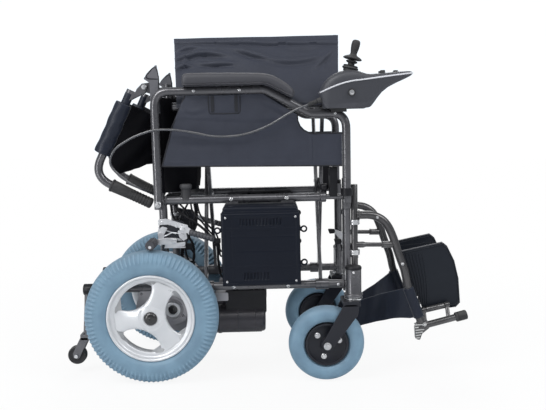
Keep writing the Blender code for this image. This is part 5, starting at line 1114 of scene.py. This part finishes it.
def cloth_piece(name, body, material, slot, grid, thick, hand, replaces=()):
    """A cloth about a grid of chair places: both faces lie half a thickness off along the grid's normal.

    Its UV map runs along and across the cloth in metres, so the weave keeps its size."""
    g = np.asarray(grid, float)
    rows, columns = g.shape[:2]
    out = unit(np.cross(np.gradient(g, axis=1), np.gradient(g, axis=0)))
    half = np.broadcast_to(np.asarray(thick, float), (rows, columns))[..., None] / 2
    loop = np.concatenate([g + out * half, (g - out * half)[:, ::-1]], axis=1)
    faces = grid_faces(rows, 2 * columns, ends=False)
    for start in (0, (rows - 1) * 2 * columns):
        faces += [[start + c, start + c + 1, start + 2 * columns - 2 - c, start + 2 * columns - 1 - c]
                  for c in range(columns - 1)]
    obj = piece(name, body, material, slot, [(loop.reshape(-1, 3), faces)], hand, replaces=replaces, crease=70)
    flat = np.zeros((rows, columns, 2))
    flat[:, 1:, 0] = np.cumsum(np.linalg.norm(np.diff(g, axis=1), axis=2), axis=1) * MM
    flat[1:, :, 1] = np.cumsum(np.linalg.norm(np.diff(g, axis=0), axis=2), axis=0) * MM
    flat = np.concatenate([flat, flat[:, ::-1]], axis=1).reshape(-1, 2)
    corners = np.empty(len(obj.data.loops), int)
    obj.data.loops.foreach_get("vertex_index", corners)
    obj.data.uv_layers.new(name="cloth").data.foreach_set("uv", flat[corners].ravel())
    return obj


def crease(x, z, line, width, depth):
    """A soft fold along a line of (x, z): a dip on one side and a rise on the other, fading past its ends."""
    line = smooth_route(line, 3.0)
    away = np.hypot(x[..., None] - line[:, 0], z[..., None] - line[:, 1])
    near = away.argmin(axis=-1)
    ahead = np.gradient(line, axis=0)[near]
    side = np.sign((x - line[near, 0]) * ahead[..., 1] - (z - line[near, 1]) * ahead[..., 0])
    fade = np.sin(np.pi * np.clip((near + 0.5) / len(line), 0, 1)) ** 0.7
    q = side * away.min(axis=-1) / width
    return depth * fade * (np.exp(-(q + 0.5) ** 2 * 2.2) - 0.8 * np.exp(-(q - 0.7) ** 2 * 2.2))


def between(x, low, high, step):
    """A grid of (x, z) between two edges: columns follow x and rows run up from low to high."""
    rows = max(4, round(float((high - low).max()) / step)) + 1
    t = np.linspace(0, 1, rows)[:, None]
    return x + 0 * t, low + (high - low) * t


def binding(route, o, radius=1.7):
    """A folded tape along an edge: a slim bar over a route of (x, z)."""
    path = np.insert(rounded(route, 8, 8, closed=False), 1, o, axis=1)
    return swept(smooth_route(path, 6), radius, 12)


slate_nylon = woven("slate_nylon", (0.037, 0.042, 0.062), 0.58, sheen=0.14)
dark_binding = woven("dark_binding", (0.011, 0.012, 0.018), 0.6, thread=0.0014, sheen=0.08)

front = np.array(NOTCH[::-1], float)
x = np.unique(np.r_[39.5, np.arange(42, NOTCH_REAR, 3.0), NOTCH_REAR, 391.6, np.arange(393, 434, 2.5),
                    np.arange(436, PANEL_FRONT, 4.0), PANEL_FRONT])
high = np.interp(x, np.r_[PANEL_REAR, 69, 104, front[:, 0]], np.r_[567, 666, PANEL_TOP, front[:, 1]])
low = PANEL_LOW - (x - PANEL_REAR) / (PANEL_FRONT - PANEL_REAR) * 8
gx, gz = between(x, low, high, 4.0)
edge = np.minimum(gz - low, high - gz)
o = ARM_SIDE + 0.9 * np.exp(-edge / 9) * np.sin(gx / 7.3 + 2 * np.sin(gz / 19)) * (1 - np.exp(-edge / 2))
lap = 682 + 5 * np.sin(gx / 60)
o = o + 1.8 * ramp(gz - lap, -3, 1.5) * (1 - ramp(gx, 330, NOTCH_REAR)) * (1 - ramp(gz, 700, 740))
for line, width, depth in PANEL_CREASES:
    o = o + crease(gx, gz, line, width, depth)
o = o + 0.5 * np.sin(gx / 31 + gz / 43) * np.clip(edge / 20, 0, 1)
panel_grid = np.stack([gx, o, gz], axis=-1)
hem = 3.0 + 0.9 * line_at(gz, low + 9, 5) - 0.7 * line_at(gz, low + 15, 1.2)
tape = [binding([(39, 565), (69.5, 666), (104.5, PANEL_TOP - 1)], ARM_SIDE, 2.4),
        binding(NOTCH[:-1], ARM_SIDE, 2.6), binding([(38.5, 565), (PANEL_FRONT, 557)], ARM_SIDE, 2.2)]
rear, fore, foot = POCKET
x = np.arange(rear, fore + 1, 2.5)
px, pz = between(x, foot + 0 * x, PANEL_TOP - 1.5 + 0 * x, 2.5)
seam = np.minimum(np.minimum(px - rear, fore - px), pz - foot)
rise = 2.4 + 1.1 * ramp(seam, 2.5, 7) + 0.5 * np.sin(px / 8 + pz / 14) * ramp(seam, 4, 10)
pocket = np.stack([px, ARM_SIDE + rise, pz], axis=-1)
strips = [block(x, x + 9, ARM_SIDE + 2.6, ARM_SIDE + 4.9, 701, PANEL_TOP - 2, 1) for x in POCKET_TAPES]
strips.append(binding([(rear, PANEL_TOP - 2), (rear, foot), (fore, foot), (fore, PANEL_TOP - 2)], ARM_SIDE + 3,
                      1.3))
for side, hand in SIDES:
    panel = cloth_piece(f"{side}_panel_nylon", f"{side}_arm", slate_nylon, "slate_cloth", panel_grid, hem, hand,
                        replaces=(f"{side}_side_panel",))
    edging = piece(f"{side}_panel_binding", f"{side}_arm", dark_binding, "black_cloth", tape, hand)
    flap = cloth_piece(f"{side}_pocket", f"{side}_arm", slate_nylon, "slate_cloth", pocket, 1.4, hand)
    tapes = piece(f"{side}_pocket_tapes", f"{side}_arm", dark_binding, "black_cloth", strips, hand, bevel=0.3)


# Back rest
# The upper canes fold down on pins at the lower canes' tops, so the back's cloth is in two: the lower part on
# sleeves round the lower canes, the upper part on wide sleeves round the folded ones. Both sag to the middle.

CANE_TOP_Z = 790
BACK_PIN = (-3, 770)
BACK_FOLD = math.radians(153.4)
GRIP_Z = 1040
OPEN_SIDE = 214.4
REACH = OPEN_SIDE - 0.4
SLEEVE_FACE = 12.6
LOWER_FOOT, LOWER_TOP = 493, 744
CANE_LINE = (CANE_X, FRAME_SIDE, 0)


def folded(x, z):
    """A place on the upright upper back, folded down about its pin."""
    dx, dz = x - BACK_PIN[0], z - BACK_PIN[1]
    c, s = math.cos(BACK_FOLD), math.sin(BACK_FOLD)
    return BACK_PIN[0] + dx * c - dz * s, BACK_PIN[1] + dx * s + dz * c


def half_cloth(origin, along, out, edges, step, sag):
    """Half of a folded cloth, from its bar to the chair's middle.

    A point at distance d from the bar and place s along it is origin + along s + face d, moved along the
    normal by sag(d, s), which fades out at both ends; face leans out by the folded half's angle."""
    lean = math.acos((FRAME_SIDE - 0.5) / OPEN_SIDE)
    face = np.array([0, -math.cos(lean), 0]) + np.asarray(out, float) * math.sin(lean)
    normal = np.cross(along, face)
    e = np.array(edges, float)
    d = np.unique(np.r_[e[:, 0], np.arange(e[0, 0], e[-1, 0], step)])[:, None]
    low, high = np.interp(d, e[:, 0], e[:, 1]), np.interp(d, e[:, 0], e[:, 2])
    t = np.linspace(0, 1, round(float((high - low).max()) / step) + 1)[None, :]
    s = low + (high - low) * t
    off = sag(d, s) * np.sin(np.pi * np.clip(d / e[-1, 0], 0, 1))
    return (np.asarray(origin, float) + s[..., None] * along + (d + 0 * s)[..., None] * face
            + off[..., None] * normal)


def sleeve(origin, along, start, end, radius, ripple=0.35, wide=1.0, shift=0.0):
    """A cloth tube round a bar, a little slack: its radius ripples along and round it, and its ends are rolled.

    Wide stretches its section within the chair's side plane and shift moves it there."""
    along = unit(np.asarray(along, float))
    side = np.array(OUT, float)
    up = np.cross(along, side)
    s = np.r_[start, start + 0.8, start + 2, np.arange(start + 5, end - 3, 4.0), end - 2, end - 0.8, end]
    s = s[:, None]
    a = turn_steps(40)[None, :]
    r = radius + ripple * np.sin(s / 9 + 2 * np.sin(a)) * np.sin(2 * a + s / 23)
    r = r - 1.1 * np.exp(-(s - start) / 0.8) - 1.1 * np.exp(-(end - s) / 0.8)
    ring = (np.asarray(origin, float) + s[..., None] * along + (r * np.cos(a))[..., None] * side
            + (shift + wide * r * np.sin(a))[..., None] * up)
    return ring.reshape(-1, 3), grid_faces(len(s), 40)


black_nylon = woven("black_nylon", (0.003, 0.003, 0.0055), 0.55, sheen=0.02, dust_and_highlight=0.0, shine=0.12)
navy_nylon = woven("navy_nylon", (0.011, 0.016, 0.031), 0.42)
grey_nylon = woven("grey_nylon", (0.15, 0.15, 0.165), 0.5, dust_and_highlight=0.04)

low, high = LOWER_FOOT, LOWER_TOP
shelf = low + 126
edges = [(SLEEVE_FACE, low, high), (45, low, high - 4), (80, low + 2, high - 8), (106, low + 4, high - 10),
         (109, low + 30, high - 10), (115, shelf, high - 11), (160, shelf, high - 14),
         (REACH, shelf, high - 16)]
lower_grid = half_cloth(CANE_LINE, np.array(UP, float), AHEAD, edges, 5, lambda d, z: (
    4 * np.sin(9 * d / REACH + 3 * (z - LOWER_FOOT) / 251) + 1.2 * np.sin(d / 9 + z / 26)))
lower_sleeve = [sleeve(CANE_LINE, UP, low, high, 13.1)]

x = np.linspace(0, 1, 14)[None, :]
up = 702 + 122 * np.linspace(0, 1, 40)[:, None] ** 0.9
left = np.interp(up, [702, 780, 791, 824], [13, 13, -3, 29.5])
right = np.interp(up, [702, 792, 826], [37, 37, 33])
face = FRAME_SIDE + 13
corner = np.stack([left + (right - left) * x, face + 0.6 + 0.7 * np.sin(up / 13 + 3 * x), up + 0 * x], axis=-1)
corner_tape = [binding([(36.5, 704), (36.5, 792), (31.5, 825.5), (-3.5, 791.5), (36, 789)], face + 0.7)]

x0, z0 = folded(CANE_X, CANE_TOP_Z)
x1, z1 = folded(CANE_X, CANE_TOP_Z + 100)
roll_foot = (x0, FRAME_SIDE, z0)
along = unit(np.array([x1 - x0, 0, z1 - z0]))
out = np.array([-along[2], 0, along[0]])
edges = [(SLEEVE_FACE, 36, 183), (35, 36, 209), (62, 38, 220), (90, 40, 200), (116, 41, 172), (160, 44, 150),
         (REACH, 46, 138)]
upper_grid = half_cloth(roll_foot, along, out, edges, 5, lambda d, z: (
    5 * np.sin(7 * d / REACH + 4 * (z - 36) / 180 + 1) + 1.3 * np.sin(d / 8 + z / 19)))
rolls = [sleeve(roll_foot, along, 41, 184, 18.5, 1.0, 1.16, -3), sleeve(roll_foot, along, 10, 44, 11.7, 0.1)]
for side, hand in SIDES:
    lower = cloth_piece(f"{side}_back_lower", f"{side}_lower_back", black_nylon, "black_cloth", lower_grid, 2.6,
                        hand, replaces=(f"{side}_lower_cloth",))
    tube = piece(f"{side}_back_lower_sleeve", f"{side}_lower_back", black_nylon, "black_cloth", lower_sleeve,
                 hand, crease=70)
    flag = cloth_piece(f"{side}_back_corner", f"{side}_lower_back", grey_nylon, "black_cloth", corner, 1.6,
                       hand)
    tape = piece(f"{side}_back_corner_tape", f"{side}_lower_back", dark_binding, "black_cloth", corner_tape,
                 hand)
    upper = cloth_piece(f"{side}_back_upper", f"{side}_upper_back", black_nylon, "black_cloth", upper_grid, 2.8,
                        hand, replaces=(f"{side}_upper_cloth",))
    roll = piece(f"{side}_back_upper_sleeve", f"{side}_upper_back", navy_nylon, "black_cloth", rolls, hand,
                 crease=70)

upright = [(CANE_X, CANE_TOP_Z + 1.5), (CANE_X, GRIP_Z), (CANE_X - 163, GRIP_Z)]
path = [(x, FRAME_SIDE, z) for x, z in (folded(*p) for p in rounded(upright, 52, 12, closed=False))]
cheek = [(-11, 762), (5, 762), (12, 782), (12, 793), (31, 797), (31, 820), (19, 820), (-11, 782)]
cheek = [folded(*p) for p in rounded(cheek, 5)]
shapes = [swept(path, TUBE_R, 32)]
shapes += [plate(cheek, near, near + 5) for near in (FRAME_SIDE - 9, FRAME_SIDE + 4)]
both("cane_bar", "cane", gunmetal, "gunmetal", shapes, "upper_cane", bevel=0.8)
pin = [(4, -11), (4, 9.4), (6.6, 9.4), (6.6, 11.2), (5.4, 12.4), (2, 12.8), (0.3, 12.8)]
both("cane_pin", "cane", bright_zinc, "silver", [turned(pin, (BACK_PIN[0], FRAME_SIDE, BACK_PIN[1]), OUT, 24)])
ribs = [(12, 0), (12, 114), (16.6, 0), (17.5, 1), (17.5, 4), (16.6, 5), (13.4, 6)]
for i in range(12):
    at = 9 + 8.2 * i
    ribs += [(13.4, at), (14.5, at + 1), (14.5, at + 4.6), (13.4, at + 5.6)]
ribs += [(14.2, 108), (14.5, 112), (13.4, 115.4), (10.5, 117), (8, 117.6), (0.4, 118)]
start = folded(CANE_X - 53, GRIP_Z)
ahead = np.array(folded(CANE_X - 153, GRIP_Z)) - start
both("grip_rubber", "cane", black_rubber, "rubber",
     [turned(ribs, (start[0], FRAME_SIDE, start[1]), (ahead[0], 0, ahead[1]), 44)], "grip")


# Seat
# One sheet of slate nylon slung between two rails that stand on the cross brace. Folded, its middle is pushed
# up into a ridge and the slack lies in creases; each half is wrapped round its rail and hemmed on top.

BRACE_ARM = 262.5
SEAT_RAIL = (66, 510)
BRACE_TOP_Z = LOW_RAIL_Z + 2 * BRACE_ARM * math.cos(math.asin(FRAME_SIDE / BRACE_ARM))
SEAT_LONG = SEAT_RAIL[1] - SEAT_RAIL[0]
SEAT_REAR, SEAT_FRONT = 80, 500
SEAT_CREASES = [([(0.02, 0.80), (0.08, 0.845), (0.14, 0.86)], 7, 5.2),
                ([(0.05, 0.64), (0.11, 0.735), (0.2, 0.757), (0.32, 0.71)], 8, 6.2),
                ([(0.0, 0.645), (0.05, 0.70), (0.1, 0.715)], 6, 4.6),
                ([(0.14, 0.6), (0.25, 0.585), (0.37, 0.58)], 7, 4.2),
                ([(0.36, 0.8), (0.46, 0.725), (0.58, 0.64)], 9, 5.2),
                ([(0.0, 0.5), (0.05, 0.56), (0.1, 0.565)], 6, 4.2),
                ([(0.55, 0.62), (0.72, 0.6), (0.9, 0.65)], 11, 3.4),
                ([(0.62, 0.9), (0.78, 0.84), (0.95, 0.86)], 13, 2.4),
                ([(0.3, 0.93), (0.42, 0.9), (0.55, 0.92)], 11, 2.2),
                ([(0.86, 0.5), (0.93, 0.66), (0.98, 0.78)], 9, 3.0),
                ([(-0.2, 0.945), (0.5, 0.9), (1.2, 0.85)], 6, 5.5)]
CREASE_LIFT = 1.5

wrap = (TUBE_R + 2.3) / math.cos(math.radians(10))
lean = math.acos(FRAME_SIDE / math.hypot(OPEN_SIDE, wrap)) - math.atan(wrap / OPEN_SIDE)
face = np.array([0, -math.cos(lean), math.sin(lean)])
normal = np.array([0, math.sin(lean), math.cos(lean)])
u = np.linspace(0, 1, 150)[None, :]
t = np.linspace(0, 1, 72)[:, None]
rear = SEAT_REAR - 16 * t
x = rear + (SEAT_FRONT + 13 * t - rear) * u
along_seat, up_seat = u * SEAT_LONG + 0 * t, t * REACH + 0 * u
off = 2.2 * np.sin(10 * u + 5 * t) + 1.2 * np.sin(23 * u - 9 * t) - 3
for line, width, depth in SEAT_CREASES:
    off = off + crease(along_seat, up_seat, np.array(line) * (SEAT_LONG, REACH), width, CREASE_LIFT * depth)
top = wrap + off * np.sin(np.pi * np.clip(t * 0.97 + 0.015, 0, 1)) ** 0.6
body = np.stack([x, FRAME_SIDE + face[1] * t * REACH + normal[1] * top,
                 BRACE_TOP_Z + face[2] * t * REACH + normal[2] * top], axis=-1)
turn = np.radians(np.arange(48, 0, -6))[:, None, None]
rail = np.array([0, FRAME_SIDE, BRACE_TOP_Z]) + (np.cos(turn) * normal - np.sin(turn) * face) * wrap
around = rail + (SEAT_REAR + (SEAT_FRONT - SEAT_REAR) * u[..., None]) * AHEAD
grid = np.concatenate([around, body], axis=0)
thick = np.full(grid.shape[:2], 2.6)
thick[-6:-1] += 0.9
thick[-7] -= 0.8
thick[:, 2:5] += 0.8
thick[:, -5:-2] += 0.8
for side, hand in SIDES:
    seat = cloth_piece(f"{side}_seat_nylon", f"{side}_sling", slate_nylon, "slate_cloth", grid, thick, hand,
                       replaces=(f"{side}_seat_cloth",))


# Calf straps
# A wide band behind the legs: each half is sewn round its leg tube and loops back slackly to the middle.

leg_foot = np.array([720, FRAME_SIDE, 123.0])
along = unit(np.array([681, FRAME_SIDE, 228.0]) - leg_foot)
out = np.array([-along[2], 0, along[0]])
edges = [(SLEEVE_FACE + (REACH - SLEEVE_FACE) * k, 17 + 9 * ramp(k, 0.03, 0.3) - 5 * k, 104 - 12 * k)
         for k in np.linspace(0, 1, 15)]
grid = half_cloth(leg_foot, along, out, edges, 4, lambda d, z: (
    8 * np.sin(np.pi * d / REACH) + 2.5 * np.sin(8 * d / REACH + 5 * z / 87) + 0.8 * np.sin(d / 7 + z / 12)))
strap_sleeve = [sleeve(leg_foot, along, 17, 104, 14.2, 0.3)]
for side, hand in SIDES:
    band = cloth_piece(f"{side}_strap_band", f"{side}_strap", navy_nylon, "black_cloth", grid, 2.6, hand,
                       replaces=(f"{side}_calf_strap",))
    tube = piece(f"{side}_strap_sleeve", f"{side}_strap", navy_nylon, "black_cloth", strap_sleeve, hand,
                 crease=70)


# Cross brace
# Two pairs of flat bars cross under the seat. Each bar turns on the low rail in a sleeve and carries the seat
# rail on its upper end; a bolt through both pairs' middles lets them scissor.

BRACE_X = (139, 448)
BRACE_OFFSET = 11
BRACE_WIDE, BRACE_FLAT = 13, 4.7
PLUG = [(11, -3.6), (11.2, -3.2), (11.2, -1.6), (10.4, -0.6), (8, -0.2), (0.3, 0)]
along = unit(np.array([0, -2.0 * FRAME_SIDE, BRACE_TOP_Z - LOW_RAIL_Z]))
across = np.array([0, along[2], -along[1]])
rear, fore = (np.array([x, -FRAME_SIDE, BRACE_TOP_Z]) for x in SEAT_RAIL)
for body, hand, offset in (("brace_a", -1, 0), ("brace_b", 1, BRACE_OFFSET)):
    shapes = []
    for x in BRACE_X:
        middle = x + offset - 0.3
        low = np.array([middle, FRAME_SIDE, LOW_RAIL_Z]) + along * 12
        high = np.array([middle, -FRAME_SIDE, BRACE_TOP_Z]) - along * 2
        shapes += [swept([low, (low + high) / 2, high], BRACE_WIDE, 36, across, flat=BRACE_FLAT / BRACE_WIDE,
                         corner=7),
                   collar((x, FRAME_SIDE, LOW_RAIL_Z), AHEAD, 11.4, 15, -15, 21),
                   weld((x + 3, -FRAME_SIDE, BRACE_TOP_Z), AHEAD, 11.4, 1.8)]
    shapes.append(bar([rear + (2, 0, 0), fore - (2, 0, 0)], TUBE_R, sides=36))
    piece(f"{body}_bars", body, gunmetal, "gunmetal", shapes, hand, bevel=0.6,
          replaces=(f"brace_bars_{body[-1]}",))
    piece(f"{body}_plugs", body, moulded_black, "black_plastic",
          [turned(PLUG, fore, AHEAD, 36), turned(PLUG, rear, (-1, 0, 0), 36)], hand)
shapes = []
for x in BRACE_X:
    crossing = (x + BRACE_OFFSET, 0, (LOW_RAIL_Z + BRACE_TOP_Z) / 2)
    shapes += [turned([(9, 3), (9, 5.4), (8.4, 6), (0.3, 6)], crossing, AHEAD, 32),
               turned([(6.6, 5), (6.6, 8.6), (6, 9), (0.3, 9)], crossing, AHEAD, 6)]
piece("brace_b_bolts", "brace_b", bright_zinc, "silver", shapes, 1, bevel=0.2)


# Leg rests
# A bent tube hangs on each front post by an upright in two bushes. It carries a strut to the latch, a slide
# tube under the footplate, the plate's knuckles and a ribbed clamp of cast zinc at its foot.

HANGER_X = 540
LEG_ROUTE = [(HANGER_X + 5.5, 422), (562, 422), (584, 421), (603, 415), (619, 404), (631, 388), (640, 369),
             (648, 347), (655, 324), (664, 298), (673, 273), (678, 251), (683, 228), (700, 178), (720, 123)]
HINGE_START = np.array([726, 84, 149.0])
HINGE_END = np.array([801, 84, 165.0])
HINGE_LONG = float(np.linalg.norm(HINGE_END - HINGE_START))
HINGE_AXIS = unit(HINGE_END - HINGE_START)
SLIDE_TAIL, SLIDE_TIP = np.array([735, FRAME_SIDE, 115.0]), np.array([815, FRAME_SIDE, 135.0])
STRUT_FOOT, STRUT_WAY = (HANGER_X + 4, FRAME_SIDE, 342), (1, 0, -0.02)
LATCH_PIN = (544, 84, 303)

tube_grey = finish("tube_grey", (0.075, 0.072, 0.074), 0.26, metallic=0.55, wear=(0.25, 0.25, 0.25),
                   clouds=0.35, grain=1400, bump=0.08, edge=0.3, dust_and_highlight=0.06, coat=0.5)
cast_zinc = finish("cast_zinc", (0.6, 0.6, 0.59), 0.34, metallic=0.8, wear=(0.7, 0.7, 0.7), clouds=0.5,
                   grain=800, bump=0.2, edge=0.5, dust_and_highlight=0.1)
s = FRAME_SIDE
slope = unit(SLIDE_TIP - SLIDE_TAIL)
shapes = [swept(smooth_route([(x, s, z) for x, z in LEG_ROUTE], 7), TUBE_R, 32),
          turned([(7.4, 283), (9, 284), (9, 503), (8, 504.5), (0.3, 505)], (HANGER_X, s, 0), UP, 32),
          rod((LATCH_PIN[0], 0, LATCH_PIN[2]), 4, 83, s, 20), weld((HANGER_X + 12.6, s, 422), AHEAD, 11.4, 1.8),
          swept([SLIDE_TAIL - slope * 24, SLIDE_TAIL, SLIDE_TIP], 9, 28)]
for at in (0, HINGE_LONG - 12):
    foot = HINGE_START + HINGE_AXIS * (at + 6)
    base = SLIDE_TAIL + slope * (foot[0] - SLIDE_TAIL[0]) / slope[0]
    shapes += [collar(HINGE_START, HINGE_AXIS, 4.2, 9, at, at + 12, 1, 0.8, 36),
               swept([foot, (foot + base) / 2, base], 5, 16, AHEAD, flat=1.1, corner=5)]
shapes.append(turned([(4, 2), (4, HINGE_LONG - 2)], HINGE_START, HINGE_AXIS, 20))
both("leg_bar", "hanger", tube_grey, "black_steel", shapes, "leg_tube", bevel=0.6)
strut = [(8, 0), (8.4, 1), (8.4, 19), (7.6, 22), (6, 25), (6, 68), (7, 70), (9, 72), (9, 96), (8.4, 100),
         (8, 104)]
shapes = [turned(strut, STRUT_FOOT, STRUT_WAY, 32)]
shapes += [turned([(9, at - 1), (9.8, at), (9, at + 1)], STRUT_FOOT, STRUT_WAY, 32) for at in (70, 98)]
both("latch_strut", "hanger", tube_grey, "gunmetal", shapes)
clamp = [(704, 78), (716, 74), (722, 92), (742, 108), (738, 128), (712, 132), (702, 110)]
both("foot_clamp", "hanger", tube_grey, "silver", [plate(clamp, s - 7, s + 6, 5)], bevel=0.8)
shapes = hex_bolt((728, s + 7, 118), 8, 6.4)
for i in range(6):
    z, rear, fore = 79 + 7.4 * i, 704.4 - 0.4 * i, 715.6 + 3.6 * i
    shapes.append(plate([(rear, z), (fore, z + 2), (fore, z + 5.4), (rear, z + 3.4)], s - 8, s + 8.4, 1))
both("clamp_ribs", "hanger", cast_zinc, "silver", shapes, bevel=0.6)
plug = [(11, 0), (12.6, 1.4), (13, 4), (13, 7), (12.2, 8), (13, 9), (13, 28), (12.2, 31), (10, 32), (0.3, 32.4)]
both("slide_plug", "hanger", black_rubber, "rubber", [turned(plug, SLIDE_TIP - slope * 2, slope, 36)])
both("leg_screws", "hanger", bright_zinc, "silver",
     [screw_head((600, s + TUBE_R + 0.2, 415.5), 3.6), screw_head((667, s + TUBE_R + 0.2, 288), 4.4, 0.6),
      screw_head((551, s + 9.4, 404), 3, 0.4, AHEAD)])


# Leg rest latches
# A bent and plated finger lever on a pin below the lower bush, with a dipped black tip and a return spring.

LATCH_THICK = 6
x, near, z = LATCH_PIN
shank = [(502, 353), (503, 343), (505, 343), (x - 16, 318), (x - 9, z - 4), (x + 2, z - 9), (x + 9, z),
         (x + 8, z + 10), (x - 8, 341), (508, 354)]
shapes = [plate(shank, near, near + LATCH_THICK, 4),
          turned([(6.4, 5.4), (6.4, 7.2), (5.6, 7.8), (0.3, 8)], LATCH_PIN, OUT, 28),
          coil((x - 2, near - 3, z), (x - 2, near + 0.2, z), 7.6, 0.8, 3)]
both("latch_plate", "latch", plated_steel, "silver", shapes, "latch_lever", bevel=0.8)
tip = [(486, 356), (491, 341), (506, 342), (508, 349), (506, 355)]
both("latch_tip", "latch", moulded_black, "black_plastic",
     [plate(tip, near - 1.4, near + LATCH_THICK + 1.4, 3)], bevel=1.6)


# Footplates
# Moulded plates, folded up on edge: the outer face has a raised bead round it and ribs along its hinged
# side, the tread has rows of grip bars, and a barrel on the lower edge turns on the leg rest's pin.

PLATE_EDGE = [(674, 314), (784, 336), (797, 325), (817, 284), (829, 234), (834, 166), (822, 154), (807, 152),
              (807, 166), (732, 150)]
PLATE_NEAR, PLATE_FAR = 66, 74
TREAD_SIDE, OUTER_SIDE = PLATE_NEAR + 0.8, PLATE_FAR - 1.2
plate_black = finish("plate_black", (0.014, 0.017, 0.024), 0.42, wear=(0.14, 0.15, 0.17), clouds=0.12,
                     grain=900, bump=0.25, edge=0.0, dust_and_highlight=0.02, shine=0.2)
edge = np.array(PLATE_EDGE, float)
outline = np.vstack([rounded(edge[:7], 9, 8, closed=False), edge[7:]])
middle = outline.mean(axis=0)
inner = (middle + (outline - middle) * 0.93)[:-2]
shapes = [plate(outline, TREAD_SIDE, OUTER_SIDE)]
shapes += [swept(smooth_route(np.insert(inner, 1, o, axis=1), 5), 1.9, 12) for o in (OUTER_SIDE, TREAD_SIDE)]
for i in range(6):
    low, high = 716 + 5.5 * i, 684 + 9 * i
    rib = [(low, OUTER_SIDE, 166), ((low + high) / 2 + 5, OUTER_SIDE, 230), (high, OUTER_SIDE, 306)]
    shapes.append(swept(smooth_route(rib, 8), 1.3, 10))
for i in range(9):
    z, rear, fore = 186 + 14.5 * i, 712 - i * 2.6, 806 - i * 2.2
    grip_bar = [(rear, TREAD_SIDE, z), ((rear + fore) / 2, TREAD_SIDE, z + 5), (fore, TREAD_SIDE, z + 10)]
    shapes.append(swept(grip_bar, 1.5, 10))
for k in (0.3, 0.7):
    at = HINGE_START + HINGE_AXIS * (HINGE_LONG * k)
    shapes.append(block(at[0] - 6, at[0] + 6, PLATE_NEAR + 2, 83, at[2] - 5, at[2] + 6))
both("plate_moulding", "footplate", plate_black, "black_plastic", shapes, "foot_plate", bevel=1.0)
both("plate_barrel", "footplate", tube_grey, "black_steel",
     [collar(HINGE_START, HINGE_AXIS, 4.8, 8, 13, HINGE_LONG - 13, 0.6, 0.8, 36)])
rim = np.insert(outline, 1, (PLATE_NEAR + PLATE_FAR) / 2, axis=1)[:-3]
both("plate_edge", "footplate", dark_rubber, "black_plastic", [swept(smooth_route(rim, 6), 3.7, 20, flat=0.5)])
